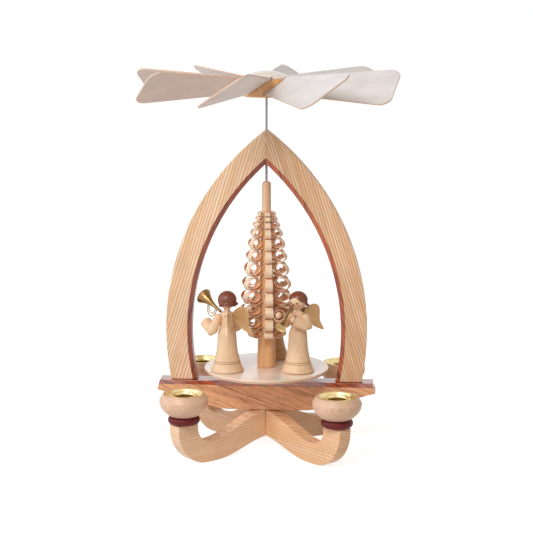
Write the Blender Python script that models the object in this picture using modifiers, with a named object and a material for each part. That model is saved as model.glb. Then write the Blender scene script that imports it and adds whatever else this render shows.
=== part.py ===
"""Table-top christmas pyramid: a candle-lit base cross, a pointed arch and a rotor turned by a fan.

Metres, +Z up. The origin is on the spindle axis at table level, and X runs along the cross beam.
"""

import math

import bmesh
import bpy
from mathutils import Matrix, Vector

# Fits
FIT = 0.0003
RUNNING_FIT = 0.0003
OVERCUT = 0.004

# Base cross
BAR_WIDTH = 0.011
BAR_REACH = 0.0792
SEAT_LENGTH = 0.0178
SEAT_STRAIGHT = 0.0034
BEND_RADIUS = 0.0280
BEND_INNER_RADIUS = 0.0123
FOOT_LENGTH = 0.006
BAR_RISE = 0.0105
BAR_CROWN = 0.0144
BEAM_PAD_LENGTH = 0.008
ARM_ANGLES = (45.0, 135.0)

# Candle holders
RING_RADIUS = 0.0118
RING_HEIGHT = 0.0062
CUP_RADIUS = 0.0181
CUP_HEIGHT = 0.0162
CUP_SHOULDER = 0.0044
CUP_FOOT_RADIUS = 0.0108
CUP_RIM_LAND = 0.0008
SPIGOT_RADIUS = 0.003
SPIGOT_DEPTH = 0.008
DISH_RADIUS = 0.01525
DISH_DEPTH = 0.0032
SHEET = 0.0006
SOCKET_RADIUS = 0.0076
SOCKET_DEPTH = 0.0115
LIP_RADIUS = 0.0101
LIP_DROP = 0.0012

# Cross beam
BEAM_TOP_LENGTH = 0.1624
BEAM_END_LEAN = 0.0019
BEAM_END_HEIGHT = 0.0077
BEAM_DEPTH = 0.0152
BEAM_HEIGHT = 0.0186
BEAM_FLAT_LENGTH = 0.0685
BEAM_BLEND_RADIUS = 0.045
STRIP_THICKNESS = 0.0031
SCREW_RADIUS = 0.0018
SCREW_HEAD_RADIUS = 0.0036
SCREW_LENGTH = 0.029

# Pointed arch
ARCH_RADIUS = 0.1917
ARCH_FOOT_REACH = 0.0725
ARCH_CENTRE_LIFT = 0.0374
LEG_BAND = 0.0163
LEG_DEPTH = 0.010
LINING_THICKNESS = 0.0033
DOWEL_RADIUS = 0.0025
DOWEL_LENGTH = 0.018

# Rotor
SPINDLE_RADIUS = 0.00085
SPINDLE_POINT = 0.0018
BEARING_RADIUS = 0.003
BEARING_HEIGHT = 0.0045
BEARING_SOCKET_RADIUS = 0.0018
BUSH_RADIUS = 0.0022
BUSH_LENGTH = 0.010
BUSH_BELOW_APEX = 0.011
PLATE_GAP = 0.0074
PLATE_RADIUS = 0.0471
PLATE_LOWER_THICKNESS = 0.0013
PLATE_UPPER_THICKNESS = 0.0016
PLATE_STEP = 0.0007

# Shaved tree
TREE_TURN = -21.5
TREE_COLUMNS = 6
TREE_FACET_REACH = 0.0064
TREE_NECK_REACH = 0.0034
TREE_BARE_TRUNK = 0.0215
TREE_TIP_RADIUS = 0.0033
TREE_TIP_CROWN_RADIUS = 0.0022
TREE_TIP_CROWN = 0.0022
TREE_TIP_LENGTH = 0.0225
CURL_THICKNESS = 0.0005
CURL_GAP = 0.0006
CURL_ROOT = 0.0012
CURL_SIDE = 0.0003
CURL_START = -100.0
CURL_TURN = 415.0
CURL_CLOSING = 0.62
CURL_CLOSING_POWER = 1.3
CURL_POINTS = 8
TIER_HEIGHTS = (
    0.0065, 0.0098, 0.0092, 0.0106, 0.0106, 0.0108,
    0.0091, 0.0092, 0.0071, 0.0060, 0.0046, 0.0036,
)
TIER_REACHES = (
    0.0150, 0.0190, 0.0201, 0.0198, 0.0186, 0.0171,
    0.0156, 0.0141, 0.0125, 0.0106, 0.0091, 0.0080,
)

# Angels
ANGEL_SPREADS = (0.0330, 0.0288, 0.0308)
ANGEL_PLACES = (211.2, 329.6, 85.0)
ANGEL_FACING = -86.5
SKIRT_RADIUS = 0.0125
SKIRT_TOP_RADIUS = 0.0057
SKIRT_HEIGHT = 0.0336
SKIRT_SHOULDER = 0.0010
SKIRT_FLARE = 2.1
WAIST_RADIUS = 0.0052
CHEST_RADIUS = 0.0054
CHEST_RISE = 0.0080
SHOULDER_RADIUS = 0.0039
SHOULDER_RISE = 0.0116
NECK_RADIUS = 0.0024
NECK_RISE = 0.0017
HEAD_RADIUS = 0.0066
MOUTH_DROP = 0.0021
HAIR_RADIUS = 0.0071
HAIR_RIM_RADIUS = 0.0075
HAIR_RIM_DROP = 0.0016
HAIR_SETBACK = 0.0005
HAIR_TILT = -24.0
FLIP_RADIUS = 0.0015
FLIP_PLACE = (-0.0022, 0.0072, -0.0020)
ARM_RADIUS = 0.0032
CUFF_RADIUS = 0.0044
HAND_RADIUS = 0.0026
HAND_LENGTH = 0.0026
SHOULDER_PLACE = (0.0005, 0.0068)
ELBOW_PLACE = (0.0042, 0.0104)
LEFT_CUFF_PLACES = ((0.0150, 0.0076), (0.0104, 0.0026), (0.0150, 0.0076))
RIGHT_CUFF_PLACES = ((0.0150, 0.0076), (0.0150, 0.0076), (0.0150, 0.0076))
ELBOW_DROPS = (0.0100, 0.0058, 0.0072)
LEFT_CUFF_RISES = (0.0052, 0.0050, 0.0058)
RIGHT_CUFF_RISES = (0.0052, 0.0082, 0.0058)
WING_THICKNESS = 0.0012
WING_SPREAD = 29.0
WING_ROOT = 0.0050
WING_OUTLINE = (
    (0.0000, 0.0048), (0.0000, 0.0112), (0.0045, 0.0153), (0.0090, 0.0166),
    (0.0128, 0.0148), (0.0139, 0.0109), (0.0138, 0.0064), (0.0146, 0.0022),
    (0.0174, -0.0040), (0.0094, -0.0010), (0.0025, 0.0036),
)
HORN_OFFSETS = ((0.0004, 0.0015, -0.0078), (0.0, 0.0, 0.0), (0.0, 0.0, 0.0))
HORN_YAWS = (11.5, 0.0, 0.0)
HORN_PITCHES = (24.0, -38.0, -38.0)
HORN_LENGTHS = (0.0220, 0.0218, 0.0218)
HORN_BELL_RADII = (0.0061, 0.0043, 0.0043)
HORN_FLARES = (2.6, 7.0, 7.0)
HORN_TIP_RADII = (0.0011, 0.0007, 0.0007)
BELL_DEPTH = 0.0030
BELL_RIM = 0.0007
LOOP_WIRE_RADIUS = 0.0005
LOOP_STARTS = (0.0130, 0.0165, 0.0165)
LOOP_ENDS = (0.0040, 0.0040, 0.0040)
LOOP_REACHES = (-0.0092, 0.0028, 0.0028)
LOOP_POINTS = 9
HORN_STATIONS = (1.0, 0.9, 0.7, 0.4, 0.0)

# Fan
HUB_RADIUS = 0.01725
HUB_HEIGHT = 0.0143
HUB_DOME = 0.0050
HUB_ABOVE_APEX = 0.0241
HUB_BORE_DEPTH = 0.0125
BLADE_COUNT = 8
BLADE_TURN = -14.2
BLADE_PITCH = 32.4
BLADE_TENON = 0.0058
BLADE_TIP_REACH = 0.0986
BLADE_ROOT_CHORD = 0.0203
BLADE_TIP_CHORD = 0.0414
BLADE_CORNER_RADIUS = 0.0085
BLADE_LIFT = 0.0012
BLADE_THICKNESS = 0.0012

# Facets
RING_SIDES = 16
CUP_SIDES = 20
PLATE_SIDES = 36
HUB_SIDES = 28
BODY_SIDES = 16
BALL_SIDES = 10
PIN_SIDES = 10
ARC_STEPS = 9
SHOULDER_STEPS = 2
BELLY_STEPS = 4
RING_STEPS = 4
LEG_STEPS = 16
BLEND_STEPS = 4
DOME_STEPS = 4
SKIRT_STEPS = 5

# Heights that follow from the sizes above
BEND_REACH = BAR_REACH + SEAT_LENGTH / 2 - BEND_RADIUS
INNER_BEND_REACH = BAR_REACH - SEAT_LENGTH / 2 - BEND_INNER_RADIUS
BAR_WAIST_Z = BEND_RADIUS - BEND_INNER_RADIUS
SEAT_Z = BEND_RADIUS + SEAT_STRAIGHT
BAR_TOP_Z = BAR_WAIST_Z + BAR_CROWN
LAP_Z = (BAR_RISE + BAR_TOP_Z) / 2
BEAM_Z = BAR_TOP_Z + FIT
STRIP_Z = BEAM_Z + BEAM_HEIGHT + FIT
BEAM_TOP_Z = STRIP_Z + STRIP_THICKNESS
ARCH_FOOT_Z = BEAM_TOP_Z + FIT
ARCH_CENTRE_Z = ARCH_FOOT_Z + ARCH_CENTRE_LIFT
ARCH_CENTRE_OFFSET = math.sqrt(ARCH_RADIUS**2 - ARCH_CENTRE_LIFT**2) - ARCH_FOOT_REACH
APEX_Z = ARCH_CENTRE_Z + math.sqrt(ARCH_RADIUS**2 - ARCH_CENTRE_OFFSET**2)
PLATE_Z = BEAM_TOP_Z + PLATE_GAP
PLATE_SEAM_Z = PLATE_Z + PLATE_LOWER_THICKNESS
PLATE_TOP_Z = PLATE_SEAM_Z + PLATE_UPPER_THICKNESS
TREE_Z = PLATE_TOP_Z + FIT
HUB_Z = APEX_Z + HUB_ABOVE_APEX
FAN_Z = HUB_Z + HUB_HEIGHT / 2 + BLADE_LIFT
BLADE_ROOT_REACH = HUB_RADIUS - BLADE_TENON
BEARING_Z = BEAM_TOP_Z - BEARING_HEIGHT
SPINDLE_Z = BEAM_TOP_Z - BEARING_HEIGHT / 2 + FIT
SPINDLE_TOP_Z = HUB_Z + HUB_BORE_DEPTH - FIT

for stale in list(bpy.data.objects):
    bpy.data.objects.remove(stale, do_unlink=True)

parts = bpy.data.collections.new("christmas_pyramid")
cutters = bpy.data.collections.new("cutters")
bpy.context.scene.collection.children.link(parts)
bpy.context.scene.collection.children.link(cutters)


def finish(name, colour, roughness, metallic=0.0):
    """A plain material in one colour."""
    material = bpy.data.materials.new(name)
    material.use_nodes = True
    shader = material.node_tree.nodes["Principled BSDF"]
    shader.inputs["Base Color"].default_value = (*colour, 1.0)
    shader.inputs["Roughness"].default_value = roughness
    shader.inputs["Metallic"].default_value = metallic
    material.diffuse_color = (*colour, 1.0)
    return material


ASH = finish("ash", (0.80, 0.60, 0.40), 0.45)
BEECH = finish("beech", (0.78, 0.54, 0.34), 0.45)
PADAUK = finish("padauk", (0.36, 0.07, 0.03), 0.40)
MAHOGANY = finish("mahogany", (0.55, 0.25, 0.11), 0.45)
RED_STAIN = finish("red_stain", (0.19, 0.022, 0.022), 0.50)
LIME = finish("limewood", (0.84, 0.62, 0.41), 0.50)
BLADE_WOOD = finish("blade_wood", (0.82, 0.74, 0.66), 0.55)
HAIR = finish("hair_brown", (0.22, 0.055, 0.028), 0.40)
GOLD_PAINT = finish("gold_paint", (0.55, 0.37, 0.13), 0.45, 0.6)
BRASS = finish("brass", (0.70, 0.48, 0.14), 0.25, 1.0)
STEEL = finish("steel", (0.50, 0.50, 0.52), 0.30, 1.0)


def add(name, data, material=None, parent=None):
    """A named piece among the parts, or a wire cutter where it has no material."""
    piece = bpy.data.objects.new(name, data)
    if material is None:
        cutters.objects.link(piece)
        piece.hide_render = True
        piece.display_type = "WIRE"
    else:
        parts.objects.link(piece)
        data.materials.append(material)
    piece.parent = parent
    return piece


def axis_empty(name, parent=None):
    """An empty that carries the pieces turning or moving together."""
    empty = bpy.data.objects.new(name, None)
    parts.objects.link(empty)
    empty.parent = parent
    return empty


def arc(centre, radius, start, end, steps=ARC_STEPS):
    """Points on a circle, from one angle to another in degrees."""
    angles = [math.radians(start + (end - start) * i / steps) for i in range(steps + 1)]
    return [(centre[0] + radius * math.cos(a), centre[1] + radius * math.sin(a)) for a in angles]


def turned(name, profile, sides, material=None, parent=None, closed=False):
    """A turned piece: a profile of radius and height, run down its outer side, swept about Z."""
    count = len(profile)
    edges = [(i, i + 1) for i in range(count - 1)]
    if closed:
        edges.append((count - 1, 0))
    mesh = bpy.data.meshes.new(name)
    mesh.from_pydata([(radius, 0.0, height) for radius, height in profile], edges, [])
    piece = add(name, mesh, material, parent)
    screw = piece.modifiers.new("Turning", "SCREW")
    screw.steps = sides
    screw.render_steps = sides
    screw.use_merge_vertices = True
    screw.merge_threshold = 0.00001
    return piece


def rod(radius, low, high):
    """The profile of a plain round rod."""
    return [(0.0, high), (radius, high), (radius, low), (0.0, low)]


def as_mesh(source):
    """Turns an evaluated curve or modified piece into a plain mesh under the same name."""
    bpy.context.view_layer.update()
    name = source.name
    evaluated = source.evaluated_get(bpy.context.evaluated_depsgraph_get())
    mesh = bpy.data.meshes.new_from_object(evaluated)
    shape = bmesh.new()
    shape.from_mesh(mesh)
    bmesh.ops.remove_doubles(shape, verts=shape.verts, dist=0.000001)
    bmesh.ops.recalc_face_normals(shape, faces=shape.faces)
    shape.to_mesh(mesh)
    shape.free()
    piece = bpy.data.objects.new(name, mesh)
    for home in source.users_collection:
        home.objects.link(piece)
    piece.hide_render = source.hide_render
    piece.display_type = source.display_type
    piece.parent = source.parent
    piece.matrix_basis = source.matrix_basis
    bpy.data.objects.remove(source, do_unlink=True)
    piece.name = name
    return piece


def board(name, outline, thickness, material, parent=None, smooth=False):
    """A flat piece sawn to an outline in its own XY plane, centred on that plane."""
    curve = bpy.data.curves.new(name, "CURVE")
    curve.dimensions = "2D"
    curve.fill_mode = "BOTH"
    curve.extrude = thickness / 2
    curve.resolution_u = 3
    spline = curve.splines.new("BEZIER" if smooth else "POLY")
    points = spline.bezier_points if smooth else spline.points
    points.add(len(outline) - 1)
    for point, place in zip(points, outline):
        if smooth:
            point.co = (*place, 0.0)
            point.handle_left_type = "AUTO"
            point.handle_right_type = "AUTO"
        else:
            point.co = (*place, 0.0, 1.0)
    spline.use_cyclic_u = True
    return as_mesh(add(name, curve, material, parent))


def tube(name, route, radii, material=None, parent=None, bevel_resolution=2):
    """A round bar or wire along a route of points, with its radius at each point and flat ends."""
    curve = bpy.data.curves.new(name, "CURVE")
    curve.dimensions = "3D"
    curve.bevel_depth = 1.0
    curve.bevel_resolution = bevel_resolution
    curve.use_fill_caps = True
    spline = curve.splines.new("POLY")
    spline.points.add(len(route) - 1)
    for point, place, radius in zip(spline.points, route, radii):
        point.co = (*place, 1.0)
        point.radius = radius
    return as_mesh(add(name, curve, material, parent))


def block(name, low, high, parent=None):
    """A rectangular cutter between two corners."""
    mesh = bpy.data.meshes.new(name)
    shape = bmesh.new()
    bmesh.ops.create_cube(shape, size=1.0)
    size = Vector(high) - Vector(low)
    bmesh.ops.scale(shape, vec=size, verts=shape.verts)
    bmesh.ops.translate(shape, vec=Vector(low) + size / 2, verts=shape.verts)
    shape.to_mesh(mesh)
    shape.free()
    return add(name, mesh, None, parent)


def boolean(piece, tool, operation="DIFFERENCE"):
    """Cuts one piece by another, or joins them."""
    step = piece.modifiers.new(operation.title(), "BOOLEAN")
    step.operation = operation
    step.object = tool


def upright(piece, turn=0.0):
    """Stands a board on edge, its Y up, and turns it about the vertical axis."""
    piece.rotation_euler = (math.radians(90), 0.0, math.radians(turn))
    return piece


# Base cross

def bar_edge(rise, low, start, end, steps=ARC_STEPS):
    """A smooth slope from the crossing down to the bend."""
    points = []
    for i in range(steps + 1):
        share = i / steps
        points.append((start + (end - start) * share, low + rise * (1 + math.cos(math.pi * share)) / 2))
    return points


def base_bar(name, turn, notch_low, notch_high):
    """One bent bar of the cross, with its half lap and a hole under each candle cup."""
    half = bar_edge(BAR_CROWN, BAR_WAIST_Z, BEAM_PAD_LENGTH / 2, INNER_BEND_REACH)
    half += arc((INNER_BEND_REACH, BEND_RADIUS), BEND_INNER_RADIUS, -90, 0)[1:]
    half += [(BAR_REACH - SEAT_LENGTH / 2, SEAT_Z), (BAR_REACH + SEAT_LENGTH / 2, SEAT_Z)]
    half += arc((BEND_REACH, BEND_RADIUS), BEND_RADIUS, 0, -90)
    half += list(reversed(bar_edge(BAR_RISE, 0.0, 0.0, BEND_REACH - FOOT_LENGTH)))
    other = [(-reach, height) for reach, height in reversed(half[:-1])]
    bar = upright(board(name, half + other, BAR_WIDTH, ASH), turn)
    notch_half = BAR_WIDTH / 2 + FIT
    notch_start = (-notch_half, -BAR_WIDTH, notch_low)
    notch = block(name + "_notch", notch_start, (notch_half, BAR_WIDTH, notch_high))
    notch.rotation_euler.z = math.radians(turn)
    boolean(bar, notch)
    for side in (-1, 1):
        hole = turned(
            name + "_hole",
            rod(SPIGOT_RADIUS + FIT, SEAT_Z - SPIGOT_DEPTH - FIT, SEAT_Z + OVERCUT),
            PIN_SIDES,
        )
        hole.location = Matrix.Rotation(math.radians(turn), 3, "Z") @ Vector((side * BAR_REACH, 0.0, 0.0))
        boolean(bar, hole)
    return bar


lower_bar = base_bar("base_bar_lower", ARM_ANGLES[0], LAP_Z - FIT / 2, BAR_TOP_Z + OVERCUT)
upper_bar = base_bar("base_bar_upper", ARM_ANGLES[1], -OVERCUT, LAP_Z + FIT / 2)

# Candle holders

RING_Z = SEAT_Z + FIT
CUP_Z = RING_Z + RING_HEIGHT + FIT


def quarter(wide, narrow, low, high, steps):
    """A quarter of an ellipse, from the narrow end of a round shoulder to its widest point."""
    turns = [math.pi / 2 * (1 - i / steps) for i in range(steps + 1)]
    return [(narrow + (wide - narrow) * math.cos(t), low + (high - low) * math.sin(t)) for t in turns]


def cup_profile():
    """The bowl, its stepped recess for the metal insert, and the spigot under it."""
    widest = CUP_HEIGHT - CUP_SHOULDER
    recess = DISH_RADIUS + FIT
    floor = CUP_HEIGHT - SOCKET_DEPTH - SHEET - FIT
    ledge = CUP_HEIGHT - DISH_DEPTH - SHEET - FIT
    socket = SOCKET_RADIUS + SHEET + FIT
    profile = [(0.0, floor), (socket, floor), (socket, ledge), (LIP_RADIUS, ledge)]
    profile += [(recess, CUP_HEIGHT - SHEET - FIT), (recess, CUP_HEIGHT)]
    profile += quarter(CUP_RADIUS, recess + CUP_RIM_LAND, widest, CUP_HEIGHT, SHOULDER_STEPS)
    profile += reversed(quarter(CUP_RADIUS, CUP_FOOT_RADIUS, widest, 0.0, BELLY_STEPS)[:-1])
    below = -(RING_HEIGHT + 2 * FIT + SPIGOT_DEPTH)
    return profile + [(SPIGOT_RADIUS, 0.0), (SPIGOT_RADIUS, below), (0.0, below)]


def insert_profile():
    """A pressed dish with a rolled lip round the candle socket, of even sheet."""
    top = CUP_HEIGHT
    floor = top - SOCKET_DEPTH
    valley = top - DISH_DEPTH
    crest = top - LIP_DROP
    lip = (SOCKET_RADIUS + LIP_RADIUS) / 2
    upper = [(0.0, floor), (SOCKET_RADIUS, floor), (SOCKET_RADIUS, crest - SHEET), (lip, crest)]
    upper += [(LIP_RADIUS, valley), (DISH_RADIUS - SHEET, top), (DISH_RADIUS, top)]
    outer = SOCKET_RADIUS + SHEET
    lower = [(DISH_RADIUS, top - SHEET), (LIP_RADIUS, valley - SHEET)]
    lower += [(outer, valley - SHEET), (outer, floor - SHEET), (0.0, floor - SHEET)]
    return upper + lower


def ring_profile():
    """A flat ring with a round outer edge."""
    core = RING_RADIUS - RING_HEIGHT / 2
    bore = SPIGOT_RADIUS + FIT
    edge = arc((core, RING_HEIGHT / 2), RING_HEIGHT / 2, 90, -90, RING_STEPS)
    return [(bore, RING_HEIGHT)] + edge + [(bore, 0.0)]


ARM_NAMES = ("back_right", "back_left", "front_left", "front_right")
for index, arm in enumerate(ARM_NAMES):
    direction = math.radians(ARM_ANGLES[0] + 90 * index)
    spot = (BAR_REACH * math.cos(direction), BAR_REACH * math.sin(direction))
    ring = turned("cup_ring_" + arm, ring_profile(), RING_SIDES, RED_STAIN, closed=True)
    ring.location = (*spot, RING_Z)
    cup = turned("candle_cup_" + arm, cup_profile(), CUP_SIDES, BEECH)
    cup.location = (*spot, CUP_Z)
    insert = turned("candle_insert_" + arm, insert_profile(), CUP_SIDES, BRASS)
    insert.location = (*spot, CUP_Z)

# Cross beam, its strip and the screw that holds it to the cross

def beam_half_length(drop):
    """Half the beam's length at a depth below its top: the ends lean out towards the bottom."""
    return BEAM_TOP_LENGTH / 2 + BEAM_END_LEAN * drop / BEAM_END_HEIGHT


def beam_outline():
    """The beam's front face: a flat middle that rises in a straight slope to each end."""
    end = (beam_half_length(BEAM_END_HEIGHT), BEAM_TOP_Z - BEAM_END_HEIGHT)
    knee = BEAM_FLAT_LENGTH / 2
    slope = math.atan2(end[1] - BEAM_Z, end[0] - knee)
    run = BEAM_BLEND_RADIUS * math.tan(slope / 2)
    centre = (knee - run, BEAM_Z + BEAM_BLEND_RADIUS)
    top_drop = BEAM_TOP_Z - BEAM_Z - BEAM_HEIGHT
    half = [(beam_half_length(top_drop), BEAM_Z + BEAM_HEIGHT), end]
    half += arc(centre, BEAM_BLEND_RADIUS, -90 + math.degrees(slope), -90, BLEND_STEPS)
    return half + [(-x, z) for x, z in reversed(half)]


beam = upright(board("cross_beam", beam_outline(), BEAM_DEPTH, MAHOGANY))
strip_top = beam_half_length(0.0)
strip_bottom = beam_half_length(STRIP_THICKNESS)
strip_outline = [(strip_top, BEAM_TOP_Z), (strip_bottom, STRIP_Z)]
strip_outline += [(-strip_bottom, STRIP_Z), (-strip_top, BEAM_TOP_Z)]
strip = upright(board("beam_strip", strip_outline, BEAM_DEPTH, PADAUK))


def screw_profile(grow):
    """A countersunk wood screw from below, grown all round for its hole."""
    head = SCREW_HEAD_RADIUS + grow
    shank = SCREW_RADIUS + grow
    low = BAR_RISE + FIT - grow
    cone = low + SCREW_HEAD_RADIUS - SCREW_RADIUS
    top = BAR_RISE + SCREW_LENGTH + grow
    return [(0.0, top), (shank, top - SCREW_RADIUS), (shank, cone), (head, low), (0.0, low)]


turned("beam_screw", screw_profile(0.0), PIN_SIDES, STEEL)
screw_hole = turned("beam_screw_hole", screw_profile(FIT), PIN_SIDES)
mouth_profile = rod(SCREW_HEAD_RADIUS + FIT, BAR_RISE - OVERCUT, BAR_RISE + FIT / 2)
screw_mouth = turned("beam_screw_mouth", mouth_profile, PIN_SIDES)
for piece in (lower_bar, upper_bar, beam):
    boolean(piece, screw_hole)
boolean(lower_bar, screw_mouth)

pocket_profile = rod(BEARING_RADIUS + FIT, BEARING_Z - FIT, BEAM_TOP_Z + OVERCUT)
bearing_pocket = turned("bearing_pocket", pocket_profile, PIN_SIDES)
boolean(beam, bearing_pocket)
boolean(strip, bearing_pocket)

# Pointed arch: two bent legs mitred at the top, each lined inside with a thin strip

def arch_x(radius, height):
    """Distance from the mitre plane to an arc of the arch at a height."""
    return math.sqrt(radius**2 - (height - ARCH_CENTRE_Z) ** 2) - ARCH_CENTRE_OFFSET


def arch_band(outer, inner):
    """The outline of one curved band, from the beam up to the mitre plane."""
    centre = (-ARCH_CENTRE_OFFSET, ARCH_CENTRE_Z)
    mitre = ARCH_CENTRE_OFFSET + FIT / 2
    foot_outer = -math.degrees(math.asin(ARCH_CENTRE_LIFT / outer))
    foot_inner = -math.degrees(math.asin(ARCH_CENTRE_LIFT / inner))
    tip_outer = math.degrees(math.acos(mitre / outer))
    tip_inner = math.degrees(math.acos(mitre / inner))
    outer_arc = arc(centre, outer, foot_outer, tip_outer, LEG_STEPS)
    return outer_arc + arc(centre, inner, tip_inner, foot_inner, LEG_STEPS)


LEG_INNER = ARCH_RADIUS - LEG_BAND
LINING_OUTER = LEG_INNER - FIT
LINING_INNER = LEG_INNER - LINING_THICKNESS
DOWEL_X = (arch_x(ARCH_RADIUS, ARCH_FOOT_Z) + arch_x(LEG_INNER, ARCH_FOOT_Z)) / 2
DOWEL_LOW = ARCH_FOOT_Z - DOWEL_LENGTH / 2
BUSH_Z = APEX_Z - BUSH_BELOW_APEX - BUSH_LENGTH / 2
way_profile = rod(SPINDLE_RADIUS + 2 * RUNNING_FIT, PLATE_Z, APEX_Z + OVERCUT)
spindle_way = turned("spindle_way", way_profile, PIN_SIDES)
bush_pocket_profile = rod(BUSH_RADIUS + FIT, BUSH_Z - FIT, BUSH_Z + BUSH_LENGTH + FIT)
bush_pocket = turned("bush_pocket", bush_pocket_profile, PIN_SIDES)

for side, word in ((-1, "left"), (1, "right")):
    leg_outline = [(side * x, z) for x, z in arch_band(ARCH_RADIUS, LEG_INNER)]
    lining_outline = [(side * x, z) for x, z in arch_band(LINING_OUTER, LINING_INNER)]
    leg = upright(board("arch_leg_" + word, leg_outline, LEG_DEPTH, ASH))
    lining = upright(board("arch_lining_" + word, lining_outline, LEG_DEPTH, PADAUK))
    dowel_profile = rod(DOWEL_RADIUS, DOWEL_LOW, DOWEL_LOW + DOWEL_LENGTH)
    dowel = turned("leg_dowel_" + word, dowel_profile, PIN_SIDES, BEECH)
    dowel.location.x = side * DOWEL_X
    dowel_hole = turned(
        "leg_dowel_hole_" + word,
        rod(DOWEL_RADIUS + FIT, DOWEL_LOW - FIT, DOWEL_LOW + DOWEL_LENGTH + FIT),
        PIN_SIDES,
    )
    dowel_hole.location.x = side * DOWEL_X
    for piece in (leg, strip, beam):
        boolean(piece, dowel_hole)
    for piece in (leg, lining):
        boolean(piece, spindle_way)
    boolean(leg, bush_pocket)

# Rotor: bearing, bush, spindle and plate

rotor = axis_empty("rotor_axis")
bearing_profile = [(0.0, BEAM_TOP_Z - BEARING_HEIGHT / 2), (BEARING_SOCKET_RADIUS, BEAM_TOP_Z)]
bearing_profile += [(BEARING_RADIUS, BEAM_TOP_Z), (BEARING_RADIUS, BEARING_Z), (0.0, BEARING_Z)]
turned("pivot_bearing", bearing_profile, PIN_SIDES, BRASS)

bush_bore = SPINDLE_RADIUS + RUNNING_FIT
bush_profile = [(bush_bore, BUSH_Z + BUSH_LENGTH), (BUSH_RADIUS, BUSH_Z + BUSH_LENGTH)]
bush_profile += [(BUSH_RADIUS, BUSH_Z), (bush_bore, BUSH_Z)]
turned("guide_bush", bush_profile, PIN_SIDES, BRASS, closed=True)

spindle_profile = [(0.0, SPINDLE_TOP_Z), (SPINDLE_RADIUS, SPINDLE_TOP_Z)]
spindle_profile += [(SPINDLE_RADIUS, SPINDLE_Z + SPINDLE_POINT), (0.0, SPINDLE_Z)]
turned("spindle", spindle_profile, PIN_SIDES, STEEL, rotor)

plate_bore = SPINDLE_RADIUS + FIT
plate_lower = PLATE_RADIUS - PLATE_STEP
plate_profile = [(plate_bore, PLATE_TOP_Z), (PLATE_RADIUS, PLATE_TOP_Z), (PLATE_RADIUS, PLATE_SEAM_Z)]
plate_profile += [(plate_lower, PLATE_SEAM_Z), (plate_lower, PLATE_Z), (plate_bore, PLATE_Z)]
turned("turntable_plate", plate_profile, PLATE_SIDES, LIME, rotor, closed=True)

# Shaved tree: a tapered six-sided stem whose faces are shaved up into curls, tier by tier

TREE_CURLS_Z = TREE_Z + TREE_BARE_TRUNK
TREE_NECK_Z = TREE_CURLS_Z + sum(TIER_HEIGHTS)
TREE_TOP_Z = TREE_NECK_Z + TREE_TIP_LENGTH
FACET_HALF_ANGLE = math.pi / TREE_COLUMNS


def facet_reach(height):
    """Distance from the axis to a face of the stem at a height."""
    share = (height - TREE_Z) / (TREE_NECK_Z - TREE_Z)
    return TREE_FACET_REACH + (TREE_NECK_REACH - TREE_FACET_REACH) * share


def curl_path(low, height, reach):
    """One shaving in its own plane: out from the stem at its foot, up, over and into itself."""
    root = facet_reach(low) - CURL_ROOT
    half_height = (height - CURL_GAP) / 2
    half_width = (reach - facet_reach(low)) / 2
    middle = (reach - half_width, low + CURL_GAP / 2 + half_height)
    points = [(root, low + CURL_GAP)]
    for i in range(CURL_POINTS):
        share = i / (CURL_POINTS - 1)
        angle = math.radians(CURL_START + CURL_TURN * share)
        size = 1 - CURL_CLOSING * share**CURL_CLOSING_POWER
        out = half_width * size * math.cos(angle)
        up = half_height * size * math.sin(angle)
        points.append((middle[0] + out, middle[1] + up))
    return points


def add_curl(shape, path, width, turn):
    """Draws a path and sweeps it sideways into a ribbon."""
    line = [shape.verts.new(turn @ Vector((radius, -width / 2, height))) for radius, height in path]
    edges = [shape.edges.new(pair) for pair in zip(line, line[1:])]
    swept = bmesh.ops.extrude_edge_only(shape, edges=edges)["geom"]
    far = [vert for vert in swept if isinstance(vert, bmesh.types.BMVert)]
    bmesh.ops.translate(shape, verts=far, vec=turn @ Vector((0.0, width, 0.0)))


curl_shape = bmesh.new()
for column in range(TREE_COLUMNS):
    column_turn = Matrix.Rotation(math.radians(TREE_TURN) + 2 * column * FACET_HALF_ANGLE, 4, "Z")
    tier_z = TREE_CURLS_Z
    for tier_height, tier_reach in zip(TIER_HEIGHTS, TIER_REACHES):
        ribbon_width = 2 * (facet_reach(tier_z + tier_height) * math.tan(FACET_HALF_ANGLE) - CURL_SIDE)
        add_curl(curl_shape, curl_path(tier_z, tier_height, tier_reach), ribbon_width, column_turn)
        tier_z += tier_height
bmesh.ops.recalc_face_normals(curl_shape, faces=curl_shape.faces)
curl_mesh = bpy.data.meshes.new("tree_curls")
curl_shape.to_mesh(curl_mesh)
curl_shape.free()
curls = add("tree_curls", curl_mesh)
thicken = curls.modifiers.new("Shaving", "SOLIDIFY")
thicken.thickness = CURL_THICKNESS
thicken.offset = 0.0

facet_corner = 1 / math.cos(FACET_HALF_ANGLE)
stem_profile = [(0.0, TREE_NECK_Z + CURL_GAP), (TREE_NECK_REACH * facet_corner, TREE_NECK_Z + CURL_GAP)]
stem_profile += [(TREE_FACET_REACH * facet_corner, TREE_Z), (0.0, TREE_Z)]
tree = turned("shaved_tree", stem_profile, TREE_COLUMNS, LIME, rotor)
tree.rotation_euler.z = math.radians(TREE_TURN) + FACET_HALF_ANGLE
tip_profile = [(0.0, TREE_TOP_Z), (TREE_TIP_CROWN_RADIUS, TREE_TOP_Z)]
tip_profile += [(TREE_TIP_RADIUS, TREE_TOP_Z - TREE_TIP_CROWN), (TREE_NECK_REACH, TREE_NECK_Z - CURL_GAP)]
tip_profile += [(0.0, TREE_NECK_Z - CURL_GAP)]
tip = turned("tree_tip", tip_profile, 2 * TREE_COLUMNS)
bore_profile = rod(SPINDLE_RADIUS + FIT, TREE_Z - OVERCUT, TREE_TOP_Z + OVERCUT)
stem_bore = turned("tree_bore", bore_profile, PIN_SIDES)
boolean(tree, tip, "UNION")
boolean(tree, curls, "UNION")
boolean(tree, stem_bore)

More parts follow.
